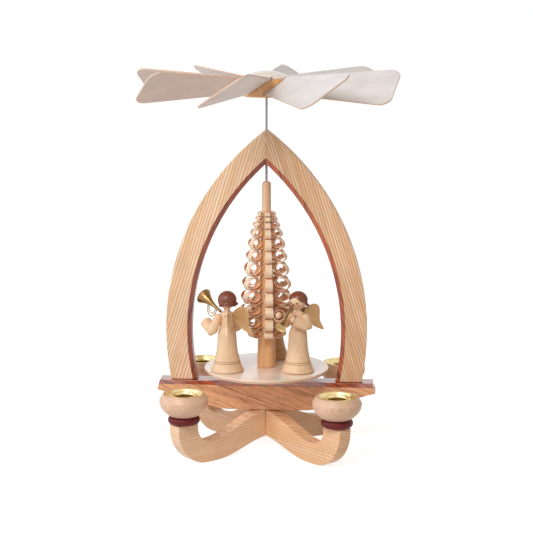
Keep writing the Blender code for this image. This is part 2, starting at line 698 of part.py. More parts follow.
# Angels: turned bodies and heads, mitred sleeves, sawn wings and brass horns

ANGEL_NAMES = ("left", "right", "back")
CHEST_Z = SKIRT_HEIGHT + CHEST_RISE
SHOULDER_Z = SKIRT_HEIGHT + SHOULDER_RISE
NECK_Z = SHOULDER_Z + NECK_RISE
HEAD_Z = NECK_Z + FIT + HEAD_RADIUS
MOUTH_REACH = math.sqrt(HEAD_RADIUS**2 - MOUTH_DROP**2) + FIT


def body_profile(grow=0.0):
    """Neck, shoulders, waist and a flared skirt, grown all round for its clearance."""
    neck = NECK_RADIUS + grow
    profile = [(0.0, NECK_Z + grow), (neck, NECK_Z + grow), (neck, SHOULDER_Z + grow)]
    profile += [(SHOULDER_RADIUS + grow, SHOULDER_Z + grow), (CHEST_RADIUS + grow, CHEST_Z)]
    profile += [(WAIST_RADIUS + grow, SKIRT_HEIGHT + grow)]
    for i in range(SKIRT_STEPS + 1):
        height = (SKIRT_HEIGHT - SKIRT_SHOULDER) * (1 - i / SKIRT_STEPS)
        flare = (1 - height / SKIRT_HEIGHT) ** SKIRT_FLARE
        profile.append((SKIRT_TOP_RADIUS + (SKIRT_RADIUS - SKIRT_TOP_RADIUS) * flare + grow, height))
    return profile + [(0.0, 0.0)]


def ball(name, radius, centre, material=None, parent=None):
    """A round ball of a few facets."""
    mesh = bpy.data.meshes.new(name)
    shape = bmesh.new()
    bmesh.ops.create_uvsphere(shape, u_segments=BALL_SIDES, v_segments=BALL_SIDES // 2 + 1, radius=radius)
    shape.to_mesh(mesh)
    shape.free()
    piece = add(name, mesh, material, parent)
    piece.location = centre
    return piece


def angel_head(name, stand):
    """A ball head under a cap of hair that is tipped back and flips out at each side."""
    head = ball(name + "head", HEAD_RADIUS, (0.0, 0.0, HEAD_Z), HAIR, stand)
    cap_profile = arc((0.0, 0.0), HAIR_RADIUS, 90, 0, DOME_STEPS)
    cap_profile += [(HAIR_RIM_RADIUS, -HAIR_RIM_DROP), (0.0, -HAIR_RIM_DROP)]
    cap = turned(name + "hair_cap", cap_profile, BODY_SIDES, None, stand)
    cap.location = (-HAIR_SETBACK, 0.0, HEAD_Z)
    cap.rotation_euler.y = math.radians(HAIR_TILT)
    boolean(head, cap, "UNION")
    for side in (-1, 1):
        place = (FLIP_PLACE[0], side * FLIP_PLACE[1], HEAD_Z + FLIP_PLACE[2])
        boolean(head, ball(name + "hair_flip", FLIP_RADIUS, place, None, stand), "UNION")


def angel_arm(name, stand, side, index):
    """A sleeve from the shoulder to the elbow and forward to its cuff, with a round hand in it."""
    elbow_z = CHEST_Z - ELBOW_DROPS[index]
    shoulder = Vector((SHOULDER_PLACE[0], side * SHOULDER_PLACE[1], CHEST_Z))
    elbow = Vector((ELBOW_PLACE[0], side * ELBOW_PLACE[1], elbow_z))
    reach, apart = (LEFT_CUFF_PLACES if side > 0 else RIGHT_CUFF_PLACES)[index]
    rise = (LEFT_CUFF_RISES if side > 0 else RIGHT_CUFF_RISES)[index]
    cuff = Vector((reach, side * apart, elbow_z + rise))
    forward = (cuff - elbow).normalized()
    route = [shoulder, elbow, cuff, cuff + forward * FIT, cuff + forward * HAND_LENGTH]
    radii = [ARM_RADIUS, (ARM_RADIUS + CUFF_RADIUS) / 2, CUFF_RADIUS, HAND_RADIUS, HAND_RADIUS]
    return tube(name, route, radii, LIME, stand)


def horn_profile(index):
    """A mouthpiece and a long tube that flares into a hollow bell."""
    length = HORN_LENGTHS[index]
    bell = HORN_BELL_RADII[index]
    tip = HORN_TIP_RADII[index]
    profile = [(0.0, length - BELL_DEPTH), (bell - BELL_RIM, length)]
    for share in HORN_STATIONS:
        flare = (bell - tip) * share ** HORN_FLARES[index]
        profile.append((tip + flare, length * share))
    return profile + [(0.0, 0.0)]


def horn_loop(index):
    """A bent wire along the horn, from near its bell back to its thin end."""
    middle = (LOOP_STARTS[index] + LOOP_ENDS[index]) / 2
    half = (LOOP_STARTS[index] - LOOP_ENDS[index]) / 2
    bends = arc((0.0, 0.0), 1.0, 0, 180, LOOP_POINTS)
    return [Vector((-LOOP_REACHES[index] * up, 0.0, middle + half * along)) for along, up in bends]


for index, word in enumerate(ANGEL_NAMES):
    name = "angel_" + word + "_"
    place = math.radians(ANGEL_PLACES[index])
    spread = ANGEL_SPREADS[index]
    stand = axis_empty("angel_stand_" + word, rotor)
    stand.location = (spread * math.cos(place), spread * math.sin(place), TREE_Z)
    stand.rotation_euler.z = place + math.radians(ANGEL_FACING)
    turned(name + "body", body_profile(), BODY_SIDES, LIME, stand)
    body_clearance = turned(name + "body_clearance", body_profile(FIT), BODY_SIDES, None, stand)
    angel_head(name, stand)
    for side, hand_word in ((1, "left"), (-1, "right")):
        boolean(angel_arm(name + "arm_" + hand_word, stand, side, index), body_clearance)
        places = [(WING_ROOT + reach, SKIRT_HEIGHT + rise) for reach, rise in WING_OUTLINE]
        wing = board(name + "wing_" + hand_word, places, WING_THICKNESS, GOLD_PAINT, stand, smooth=True)
        upright(wing, 180 - side * WING_SPREAD)
        boolean(wing, body_clearance)

    mouth = Vector((MOUTH_REACH, 0.0, HEAD_Z - MOUTH_DROP)) + Vector(HORN_OFFSETS[index])
    yaw = Matrix.Rotation(math.radians(HORN_YAWS[index]), 4, "Z")
    pitch = Matrix.Rotation(math.radians(90 - HORN_PITCHES[index]), 4, "Y")
    horn = turned(name + "horn", horn_profile(index), PIN_SIDES, BRASS, stand)
    horn.matrix_basis = Matrix.Translation(mouth) @ yaw @ pitch
    route = horn_loop(index)
    loop = tube(name + "horn_loop", route, [LOOP_WIRE_RADIUS] * len(route), None, stand, 1)
    loop.matrix_basis = horn.matrix_basis
    boolean(horn, loop, "UNION")

# Fan: a domed hub with slanted slots, and eight thin blades glued into them

fan = axis_empty("fan_axis", rotor)
hub_bore = SPINDLE_RADIUS + FIT
hub_profile = [(0.0, HUB_HEIGHT + HUB_DOME)]
dome_radius = (HUB_RADIUS**2 + HUB_DOME**2) / (2 * HUB_DOME)
dome_angle = math.degrees(math.asin(HUB_RADIUS / dome_radius))
dome_centre = (0.0, HUB_HEIGHT + HUB_DOME - dome_radius)
hub_profile += arc(dome_centre, dome_radius, 90, 90 - dome_angle, DOME_STEPS)[1:]
hub_profile += [(HUB_RADIUS, 0.0), (hub_bore, 0.0), (hub_bore, HUB_BORE_DEPTH), (0.0, HUB_BORE_DEPTH)]
hub = turned("fan_hub", hub_profile, HUB_SIDES, BEECH, fan)
hub.location.z = HUB_Z


def blade_outline():
    """A blade that widens to a tip with round corners; X is its length and Y its chord."""
    root = BLADE_ROOT_CHORD / 2
    tip = BLADE_TIP_CHORD / 2
    taper = math.atan2(tip - root, BLADE_TIP_REACH - BLADE_ROOT_REACH)
    inset = BLADE_CORNER_RADIUS * (1 - math.sin(taper)) / math.cos(taper)
    centre = (BLADE_TIP_REACH - BLADE_CORNER_RADIUS, tip - inset)
    corner = arc(centre, BLADE_CORNER_RADIUS, 90 + math.degrees(taper), 0, BLEND_STEPS)
    half = [(BLADE_ROOT_REACH, root)] + corner
    return half + [(x, -y) for x, y in reversed(half)]


def blade_matrix(index):
    """A blade's place: turned about the axis, then tilted about its own length."""
    turn = math.radians(BLADE_TURN + 360 / BLADE_COUNT * index)
    tilt = Matrix.Rotation(math.radians(BLADE_PITCH), 4, "X")
    return Matrix.Translation((0, 0, FAN_Z)) @ Matrix.Rotation(turn, 4, "Z") @ tilt


chord_gain = (BLADE_TIP_CHORD - BLADE_ROOT_CHORD) / (BLADE_TIP_REACH - BLADE_ROOT_REACH)
slot_chord = BLADE_ROOT_CHORD + chord_gain * BLADE_TENON
for index in range(BLADE_COUNT):
    blade = board(f"fan_blade_{index + 1}", blade_outline(), BLADE_THICKNESS, BLADE_WOOD, fan)
    blade.matrix_basis = blade_matrix(index)
    slot_half = slot_chord / 2 + FIT
    slot_low = (BLADE_ROOT_REACH - FIT, -slot_half, -BLADE_THICKNESS / 2 - FIT)
    slot_high = (HUB_RADIUS + OVERCUT, slot_half, BLADE_THICKNESS / 2 + FIT)
    slot = block(f"hub_slot_{index + 1}", slot_low, slot_high, fan)
    slot.matrix_basis = blade_matrix(index)
    boolean(hub, slot)
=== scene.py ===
"""Looks of a table-top christmas pyramid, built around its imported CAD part, in metres.

The sections follow the order in which the object is put together, from the base cross to the fan.
"""

import math

import bmesh
import bpy
from mathutils import Matrix, Vector


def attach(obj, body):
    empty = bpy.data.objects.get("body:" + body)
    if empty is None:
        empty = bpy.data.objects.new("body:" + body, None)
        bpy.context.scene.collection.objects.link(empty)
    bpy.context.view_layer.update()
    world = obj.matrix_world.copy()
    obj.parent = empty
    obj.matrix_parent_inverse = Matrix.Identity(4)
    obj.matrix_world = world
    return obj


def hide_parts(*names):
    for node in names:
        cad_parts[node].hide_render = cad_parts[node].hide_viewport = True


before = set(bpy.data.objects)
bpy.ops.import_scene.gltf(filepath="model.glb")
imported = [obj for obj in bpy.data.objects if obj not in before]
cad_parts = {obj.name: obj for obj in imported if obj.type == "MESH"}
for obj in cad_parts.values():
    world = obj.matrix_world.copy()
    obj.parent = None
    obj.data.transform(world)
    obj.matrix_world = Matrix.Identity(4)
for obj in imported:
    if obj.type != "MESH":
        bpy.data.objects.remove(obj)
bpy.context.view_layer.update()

# Base cross
# Two bars of ash, bandsawn to a hook at each end and half-lapped at right angles under the beam.
# The fibres run along each bar, so its tan sides show fine pale lines. Edges are lightly sanded.

FIT = 0.0003
BAR_WIDTH = 0.011
BAR_REACH = 0.0792
SEAT_LENGTH = 0.0178
SEAT_STRAIGHT = 0.0034
BEND_RADIUS = 0.0280
BEND_INNER_RADIUS = 0.0123
FOOT_LENGTH = 0.006
BAR_RISE = 0.0105
BAR_CROWN = 0.0144
BEAM_PAD_LENGTH = 0.008
BAR_EDGE = 0.0005
SCREW_MOUTH_RADIUS = 0.0040
SCREW_MOUTH_DEPTH = 0.0030
OVERCUT = 0.004
BAR_WAIST_Z = BEND_RADIUS - BEND_INNER_RADIUS
BAR_TOP_Z = BAR_WAIST_Z + BAR_CROWN
SEAT_Z = BEND_RADIUS + SEAT_STRAIGHT
LAP_Z = (BAR_RISE + BAR_TOP_Z) / 2


def shade(red, green, blue):
    """A colour given as 0 to 255 a channel, made linear for the shaders."""
    return (*[((value / 255 + 0.055) / 1.055) ** 2.4 for value in (red, green, blue)], 1.0)


def feed(node, feeds):
    """Feeds a node's inputs with values or with other nodes' outputs."""
    for socket, value in feeds.items():
        if isinstance(value, bpy.types.NodeSocket):
            node.id_data.links.new(value, node.inputs[socket])
        else:
            node.inputs[socket].default_value = value


def put(tree, kind, feeds=None, **options):
    """Adds a node, sets its options and feeds its inputs."""
    node = tree.nodes.new(kind)
    for option, value in options.items():
        setattr(node, option, value)
    feed(node, feeds or {})
    return node


def reckon(tree, operation, *terms):
    """A Math node's output."""
    return put(tree, "ShaderNodeMath", dict(enumerate(terms)), operation=operation).outputs[0]


def mixed(tree, share, first, second, blend="MIX"):
    """A colour between two others."""
    feeds = {0: share, 6: first, 7: second}
    return put(tree, "ShaderNodeMix", feeds, data_type="RGBA", blend_type=blend).outputs[2]


def scaled(tree, place, factors):
    """A place with its axes multiplied, so that a pattern on it is drawn out."""
    return put(tree, "ShaderNodeVectorMath", {0: place, 1: factors}, operation="MULTIPLY").outputs[0]


def mottle(tree, place, scale, detail):
    """Soft noise over a place."""
    return put(tree, "ShaderNodeTexNoise", {"Vector": place, "Scale": scale, "Detail": detail}).outputs[0]


def ranged(tree, value, low, high, bottom=0.0, top=1.0):
    """A value carried over from one range to another."""
    return put(tree, "ShaderNodeMapRange", {0: value, 1: low, 2: high, 3: bottom, 4: top}).outputs[0]


def face_tone(tree):
    """The tone that a mesh stores on its faces."""
    return put(tree, "ShaderNodeAttribute", attribute_name="tone").outputs["Fac"]


def roughened(tree, height):
    """A slight relief in the surface."""
    return put(tree, "ShaderNodeBump", {"Strength": 0.2, "Distance": 0.0001, "Height": height}).outputs[0]


def bare_material(name):
    """A new material and its node tree."""
    material = bpy.data.materials.new(name)
    material.use_nodes = True
    return material, material.node_tree


def finish(material, feeds):
    """Feeds a material's shader."""
    feed(material.node_tree.nodes["Principled BSDF"], feeds)


def wood(name, ground, lines, ring, pith=0.06, waver=0.0012, streak=0.2, fleck=0.0, gloss=0.42, coat=0.0,
         bands=1.0, second=None, crisp=False, shine=0.5, carried=False):
    """Sanded, waxed wood: a ground colour under the lines of its years, each about a ring wide.

    Grain Z runs along the fibres, and grain X leads away from the pith. Toned faces take the second colour.
    """
    material, tree = bare_material(name)
    if carried:
        place = put(tree, "ShaderNodeTexCoord").outputs["Object"]
    else:
        place = put(tree, "ShaderNodeAttribute", attribute_name="grain").outputs["Vector"]
    sway = mottle(tree, scaled(tree, place, (1, 1, 0.12)), 80, 2)
    spread = scaled(tree, place, (1, 1, 0))
    growth = put(tree, "ShaderNodeVectorMath", {0: spread, 1: (-pith, 0, 0)}, operation="DISTANCE")
    swayed = reckon(tree, "MULTIPLY_ADD", sway, 4 * waver, growth.outputs["Value"])
    years = reckon(tree, "DIVIDE", swayed, ring)
    year = put(tree, "ShaderNodeTexWhiteNoise", {"W": reckon(tree, "FLOOR", years)}, noise_dimensions="1D")
    season = put(tree, "ShaderNodeValToRGB", {0: reckon(tree, "FRACT", years)})
    season.color_ramp.interpolation = "LINEAR" if crisp else "B_SPLINE"
    for spot, value in ((0.16, 1.0), (0.36, 0.8), (0.62, 0.05), (0.86, 0.0)):
        season.color_ramp.elements.new(spot).color = (value, value, value, 1)
    for stop in (season.color_ramp.elements[0], season.color_ramp.elements[-1]):
        stop.color = (0.4, 0.4, 0.4, 1)
    depth = reckon(tree, "MULTIPLY_ADD", year.outputs[0], 0.6 * bands, 0.4 * bands)
    line = reckon(tree, "MULTIPLY", season.outputs[0], depth)
    fibre = mottle(tree, scaled(tree, place, (1, 1, 0.035)), 1500, 3)
    toned = reckon(tree, "MULTIPLY_ADD", reckon(tree, "SUBTRACT", fibre, 0.5), 2 * streak, line)
    toned.node.use_clamp = True
    colour = mixed(tree, toned, ground, lines)
    if fleck:
        speck = mottle(tree, scaled(tree, place, (1, 1, 0.15)), 2000, 1)
        colour = mixed(tree, ranged(tree, speck, 0.60, 0.72, 0.0, fleck), colour, lines)
    cloud = ranged(tree, mottle(tree, place, 55, 2), 0.3, 0.7, 0.93, 1.05)
    colour = mixed(tree, 1.0, colour, cloud, "MULTIPLY")
    if second:
        colour = mixed(tree, face_tone(tree), colour, second, "MULTIPLY")
    rough = reckon(tree, "MULTIPLY_ADD", fibre, 0.16, gloss - 0.08)
    finish(material, {"Base Color": colour, "Roughness": rough, "Normal": roughened(tree, fibre),
                      "Specular IOR Level": shine, "Coat Weight": coat, "Coat Roughness": 0.18})
    return material


def arc(centre, radius, start, end, steps):
    """Points on a circle, from one angle to another in degrees."""
    angles = [math.radians(start + (end - start) * i / steps) for i in range(steps + 1)]
    return [(centre[0] + radius * math.cos(a), centre[1] + radius * math.sin(a)) for a in angles]


def loose(mesh):
    """Links a mesh as an object for modifiers to work on."""
    piece = bpy.data.objects.new(mesh.name, mesh)
    bpy.context.scene.collection.objects.link(piece)
    return piece


def sawn(outline, depth, place=Matrix.Identity(4)):
    """A board sawn to an outline in X and Z, centred on Y, as a loose object."""
    shape = bmesh.new()
    near = [shape.verts.new((x, -depth / 2, z)) for x, z in outline]
    far = [shape.verts.new((x, depth / 2, z)) for x, z in outline]
    shape.faces.new(near)
    shape.faces.new(far[::-1])
    for i in range(len(outline)):
        shape.faces.new((near[i], near[i - 1], far[i - 1], far[i]))
    bmesh.ops.recalc_face_normals(shape, faces=shape.faces)
    mesh = bpy.data.meshes.new("board")
    shape.to_mesh(mesh)
    shape.free()
    mesh.transform(place)
    return loose(mesh)


def taken(piece, *tools):
    """The plain mesh that a loose object's modifiers give; the object and its tools are put away."""
    bpy.context.view_layer.update()
    seen = piece.evaluated_get(bpy.context.evaluated_depsgraph_get())
    mesh = bpy.data.meshes.new_from_object(seen)
    for used in (piece, *tools):
        bpy.data.objects.remove(used, do_unlink=True)
    return mesh


def cut(piece, *tools):
    """Cuts a loose object by others."""
    for tool in tools:
        step = piece.modifiers.new("Cut", "BOOLEAN")
        step.operation = "DIFFERENCE"
        step.object = tool


def drill(radius, height, depth, sides):
    """The tool for a round hole on the axis, its depth centred on a height."""
    ring = arc((0, 0), radius, 0, 360 - 360 / sides, sides - 1)
    return sawn(ring, depth, Matrix.Translation((0, 0, height)) @ Matrix.Rotation(math.pi / 2, 4, "X"))


def sanded(board, edge, *tools):
    """A board's mesh, cut by tools, with its edges rounded over and its flat faces left flat."""
    cut(board, *tools)
    board.data.shade_smooth()
    rounding = board.modifiers.new("Sanding", "BEVEL")
    rounding.width = edge
    rounding.segments = 3
    rounding.limit_method = "ANGLE"
    rounding.angle_limit = math.radians(28)
    flats = board.modifiers.new("Flats", "WEIGHTED_NORMAL")
    flats.weight = 90
    return taken(board, *tools)


def lay_grain(mesh, along, across, start=(0, 0, 0)):
    """Stores each point's place in the wood: Z along the fibres, X across the rings."""
    fibre = Vector(along).normalized()
    ring = Vector(across) - fibre * fibre.dot(Vector(across))
    ring.normalize()
    axes = Matrix((ring, fibre.cross(ring), fibre))
    places = [value for vert in mesh.vertices for value in axes @ vert.co + Vector(start)]
    mesh.attributes.new("grain", "FLOAT_VECTOR", "POINT").data.foreach_set("vector", places)
    return mesh


def dress(name, mesh, material, body, slot, *nodes):
    """Makes a finished mesh a piece at the origin that rides on a body and stands for CAD nodes.

    Without a material the mesh keeps its own ones.
    """
    if material:
        mesh.materials.clear()
        mesh.materials.append(material)
    mesh.name = name
    piece = loose(mesh)
    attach(piece, body)
    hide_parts(*nodes)


def bar_slope(rise, low, start, end):
    """A smooth slope from the crossing down to the bend."""
    shares = [i / 28 for i in range(29)]
    return [(start + (end - start) * s, low + rise * (1 + math.cos(math.pi * s)) / 2) for s in shares]


def bar_outline():
    """A bar from the side: crown, inner bend, seat, outer bend and foot, then the other half."""
    bend = BAR_REACH + SEAT_LENGTH / 2 - BEND_RADIUS
    inner_bend = BAR_REACH - SEAT_LENGTH / 2 - BEND_INNER_RADIUS
    half = bar_slope(BAR_CROWN, BAR_WAIST_Z, BEAM_PAD_LENGTH / 2, inner_bend)
    half += arc((inner_bend, BEND_RADIUS), BEND_INNER_RADIUS, -90, 0, 20)[1:]
    half += [(BAR_REACH - SEAT_LENGTH / 2, SEAT_Z), (BAR_REACH + SEAT_LENGTH / 2, SEAT_Z)]
    half += arc((bend, BEND_RADIUS), BEND_RADIUS, 0, -90, 28)
    half += bar_slope(BAR_RISE, 0.0, 0.0, bend - FOOT_LENGTH)[::-1]
    return half + [(-reach, height) for reach, height in half[-2::-1]]


# The upper bar, whose arm reaches to the front right, has darker colours than the lower: painted shade, as
# the light falls off to the right.
bar_cuts = {
    "lower": (45, LAP_Z - FIT / 2, BAR_TOP_Z + OVERCUT, shade(240, 190, 142), shade(255, 236, 212)),
    "upper": (135, -OVERCUT, LAP_Z + FIT / 2, shade(234, 178, 124), shade(255, 228, 196)),
}
for word, (turn, low, high, tan, pale) in bar_cuts.items():
    ash = wood("ash_bar_" + word, tan, pale, 0.0019, waver=0.0014, streak=0.3, bands=0.9, shine=0.35)
    bar_turn = Matrix.Rotation(math.radians(turn), 4, "Z")
    half_notch = BAR_WIDTH / 2 + FIT
    notch = [(-half_notch, low), (half_notch, low), (half_notch, high), (-half_notch, high)]
    tools = [sawn(notch, 2 * BAR_WIDTH, bar_turn)]
    if word == "lower":
        tools.append(drill(SCREW_MOUTH_RADIUS, BAR_RISE, 2 * SCREW_MOUTH_DEPTH, 24))
    bar_mesh = sanded(sawn(bar_outline(), BAR_WIDTH, bar_turn), BAR_EDGE, *tools)
    lay_grain(bar_mesh, bar_turn @ Vector((1, 0, 0.02)), (0.1, 0.1, 1), (0.01, 0.002, turn / 100))
    dress("base_bar_%s_sawn" % word, bar_mesh, ash, "base", "ash", "base_bar_" + word)

# Candle holders
# On each hook stand a ring stained dark red, a turned beech cup, and a pressed brass dish with a
# rolled lip round its candle socket. One of each is turned, then copied to the hooks and faced outwards.

RING_RADIUS = 0.0118
RING_HEIGHT = 0.0062
CUP_RADIUS = 0.0181
CUP_HEIGHT = 0.0162
CUP_SHOULDER = 0.0044
CUP_FOOT_RADIUS = 0.0108
CUP_BELLY = 2.4
CUP_BELLY_STEPS = 18
CUP_EDGE = 0.0004
CUP_TURN_IN = 0.00005
CUP_TURN_DROP = 0.0012
CUP_RIM_LAND = 0.0006
DISH_RADIUS = 0.0143
DISH_DEPTH = 0.0032
DISH_EDGE = 0.0006
DISH_VALLEY = 0.0012
DISH_RIM_DROP = 0.0002
SHEET = 0.0006
SOCKET_RADIUS = 0.0076
SOCKET_DEPTH = 0.0115
LIP_RADIUS = 0.0105
LIP_DROP = 0.0009
SPIGOT_RADIUS = 0.003
RING_Z = SEAT_Z + FIT
CUP_Z = RING_Z + RING_HEIGHT + FIT
HOOKS = ("back_right", "back_left", "front_left", "front_right")
GRAIN_SHIFT = (0.004, 0.004, 0.2)


def smoothed(mesh, angle=35):
    """Shades a mesh smooth, apart from edges sharper than an angle in degrees."""
    mesh.shade_smooth()
    mesh.set_sharp_from_angle(angle=math.radians(angle))
    return mesh


def tone_faces(mesh, tones):
    """Stores a tone on each face, for a colour that isn't the same all over: the thing's own colour in some
    places, painted shade and painted highlights in others.
    """
    mesh.attributes.new("tone", "FLOAT", "FACE").data.foreach_set("value", tones)


def skin(rings, wrap=False):
    """A mesh over rings of points that run clockwise as seen from the ring before; one point is a pole."""
    points, rows, faces = [], [], []
    for ring in rings:
        rows.append(range(len(points), len(points) + len(ring)))
        points += ring
    for upper, lower in zip(rows, rows[1:] + rows[:1] if wrap else rows[1:]):
        count = max(len(upper), len(lower))
        for i in range(count):
            j = (i + 1) % count
            left = (upper[i % len(upper)], lower[i % len(lower)])
            right = (lower[j % len(lower)], upper[j % len(upper)])
            faces.append(list(dict.fromkeys(left + right)))
    mesh = bpy.data.meshes.new("skin")
    mesh.from_pydata(points, [], faces)
    return smoothed(mesh)


def level_ring(radius, height, sides):
    """Points round the axis at a height."""
    angles = [math.tau * i / sides for i in range(sides)]
    return [(radius * math.cos(a), radius * math.sin(a), height) for a in angles]


def turned(profile, sides, wrap=False):
    """A mesh turned about Z from a profile of radius and height that runs down its outer side."""
    rings = []
    for radius, height in profile:
        rings.append(level_ring(radius, height, sides) if radius else [(0.0, 0.0, height)])
    return skin(rings, wrap)


def eased(points, size, steps=4):
    """Rounds every corner of a profile except its two ends, by a length kept from each corner."""
    eased_points = [points[0]]
    for before, corner, after in zip(points, points[1:], points[2:]):
        here = Vector(corner)
        back = Vector(before) - here
        ahead = Vector(after) - here
        start = here + back.normalized() * min(size, back.length * 0.45)
        end = here + ahead.normalized() * min(size, ahead.length * 0.45)
        for i in range(steps + 1):
            share = i / steps
            spot = start * (1 - share) ** 2 + here * 2 * share * (1 - share) + end * share**2
            eased_points.append(tuple(spot))
    return eased_points + [points[-1]]


def metal(name, colour, rough, grime, flat=None):
    """Handled, polished metal. Grime is its duller colour, and flat a dull colour without metal shine for
    toned faces, such as the painted shade down the brass dish's socket.
    """
    material, tree = bare_material(name)
    marks = mottle(tree, put(tree, "ShaderNodeTexCoord").outputs["Object"], 420, 4)
    colour = mixed(tree, ranged(tree, marks, 0.4, 0.75), colour, grime)
    untoned = 1.0
    if flat:
        toned = face_tone(tree)
        colour = mixed(tree, toned, colour, flat)
        untoned = reckon(tree, "SUBTRACT", 1.0, toned)
    handled = reckon(tree, "MULTIPLY_ADD", marks, 0.14, rough - 0.07)
    finish(material, {"Metallic": untoned, "Base Color": colour, "Roughness": handled})
    return material


def new_tree(name, inputs):
    """An empty Geometry Nodes tree with named inputs; returns the tree and its inputs' outputs."""
    tree = bpy.data.node_groups.new(name, "GeometryNodeTree")
    for label, kind in inputs.items():
        tree.interface.new_socket(name=label, in_out="INPUT", socket_type="NodeSocket" + kind)
    tree.interface.new_socket(name="Geometry", in_out="OUTPUT", socket_type="NodeSocketGeometry")
    return tree, put(tree, "NodeGroupInput").outputs


def stored(tree, geometry, label, value, kind="FLOAT_VECTOR", domain="POINT", **feeds):
    """Stores a named attribute on a geometry."""
    feeds = {"Geometry": geometry, "Name": label, "Value": value, **feeds}
    return put(tree, "GeometryNodeStoreNamedAttribute", feeds, data_type=kind, domain=domain).outputs[0]


def named(tree, label, kind="FLOAT_VECTOR"):
    """Reads a named attribute."""
    return put(tree, "GeometryNodeInputNamedAttribute", {0: label}, data_type=kind).outputs[0]


def realized(tree, copies, seed):
    """Gives each copy its own stretch of grain and makes the copies real."""
    feeds = {0: [-shift for shift in GRAIN_SHIFT], 1: GRAIN_SHIFT, "Seed": seed}
    shift = put(tree, "FunctionNodeRandomValue", feeds, data_type="FLOAT_VECTOR").outputs[0]
    marked = stored(tree, copies, "shift", shift, domain="INSTANCE")
    real = put(tree, "GeometryNodeRealizeInstances", {0: marked}).outputs[0]
    moved = put(tree, "ShaderNodeVectorMath", {0: named(tree, "grain"), 1: named(tree, "shift")})
    return stored(tree, real, "grain", moved.outputs[0])


def closed_tree(tree, geometry, material):
    """Ends a tree with its finish."""
    finished = put(tree, "GeometryNodeSetMaterial", {"Geometry": geometry, "Material": material}).outputs[0]
    put(tree, "NodeGroupOutput", {0: finished})
    return tree


def round_the_axis():
    """Copies a piece round the spindle axis, faced outwards with it and tilted about its own length."""
    inputs = {"Geometry": "Geometry", "Count": "Int", "Reach": "Float", "Height": "Float",
              "First turn": "Float", "Tilt": "Float", "Seed": "Int", "Finish": "Material"}
    tree, given = new_tree("round_the_axis", inputs)
    index = put(tree, "GeometryNodeInputIndex").outputs[0]
    step = reckon(tree, "DIVIDE", math.tau, given["Count"])
    turn = reckon(tree, "MULTIPLY_ADD", index, step, given["First turn"])
    out_x = reckon(tree, "MULTIPLY", reckon(tree, "COSINE", turn), given["Reach"])
    out_y = reckon(tree, "MULTIPLY", reckon(tree, "SINE", turn), given["Reach"])
    spot = put(tree, "ShaderNodeCombineXYZ", {0: out_x, 1: out_y, 2: given["Height"]}).outputs[0]
    facing = put(tree, "ShaderNodeCombineXYZ", {0: given["Tilt"], 2: turn}).outputs[0]
    spots = put(tree, "GeometryNodePoints", {"Count": given["Count"], "Position": spot}).outputs[0]
    feeds = {"Points": spots, "Instance": given["Geometry"], "Rotation": facing}
    copies = put(tree, "GeometryNodeInstanceOnPoints", feeds).outputs[0]
    return closed_tree(tree, realized(tree, copies, given["Seed"]), given["Finish"])


def grown(tree, mesh, values):
    """The plain mesh that a Geometry Nodes tree makes of a mesh with these input values."""
    holder = loose(mesh)
    step = holder.modifiers.new("Grown", "NODES")
    step.node_group = tree
    for item in tree.interface.items_tree:
        if item.in_out == "INPUT" and item.name in values:
            step[item.identifier] = values[item.name]
    return taken(holder)


ROUND_THE_AXIS = round_the_axis()
BEECH = wood("beech", shade(238, 198, 166), shade(196, 142, 102), 0.0012, pith=0.03, waver=0.0002, streak=0.4,
             fleck=0.3, gloss=0.4, bands=0.5, coat=0.12, crisp=True, shine=0.25)
RED_STAIN = wood("red_stain", shade(116, 34, 32), shade(58, 14, 18), 0.0012, streak=0.6, gloss=0.48,
                 shine=0.25)
BRASS = metal("brass", shade(240, 218, 162), 0.3, shade(222, 192, 126), shade(126, 96, 40))


def ring_profile():
    """A flat ring with a round outer edge."""
    core = RING_RADIUS - RING_HEIGHT / 2
    bore = SPIGOT_RADIUS + FIT
    edge = arc((core, RING_HEIGHT / 2), RING_HEIGHT / 2, 90, -90, 18)
    return [(bore, RING_HEIGHT)] + edge + [(bore, 0.0)]


def cup_profile():
    """The bowl's recess for the brass dish, its rim, its straight shoulder and its round belly."""
    widest = CUP_HEIGHT - CUP_SHOULDER
    recess = DISH_RADIUS + FIT
    floor = CUP_HEIGHT - SOCKET_DEPTH - SHEET - FIT
    ledge = CUP_HEIGHT - DISH_DEPTH - SHEET - FIT
    socket = SOCKET_RADIUS + SHEET + FIT
    bowl = [(0.0, floor), (socket, floor), (socket, ledge), (LIP_RADIUS, ledge)]
    rim = [(recess, CUP_HEIGHT - SHEET - FIT), (recess, CUP_HEIGHT), (recess + CUP_RIM_LAND, CUP_HEIGHT)]
    shoulder = [(CUP_RADIUS, widest), (CUP_RADIUS - CUP_TURN_IN, widest - CUP_TURN_DROP)]
    belly = []
    for i in range(3, CUP_BELLY_STEPS + 1):
        share = i / CUP_BELLY_STEPS
        drop = (CUP_RADIUS - CUP_FOOT_RADIUS) * share**CUP_BELLY
        belly.append((CUP_RADIUS - drop, widest * (1 - share)))
    return bowl + eased(rim + shoulder, CUP_EDGE) + belly + [(0.0, 0.0)]


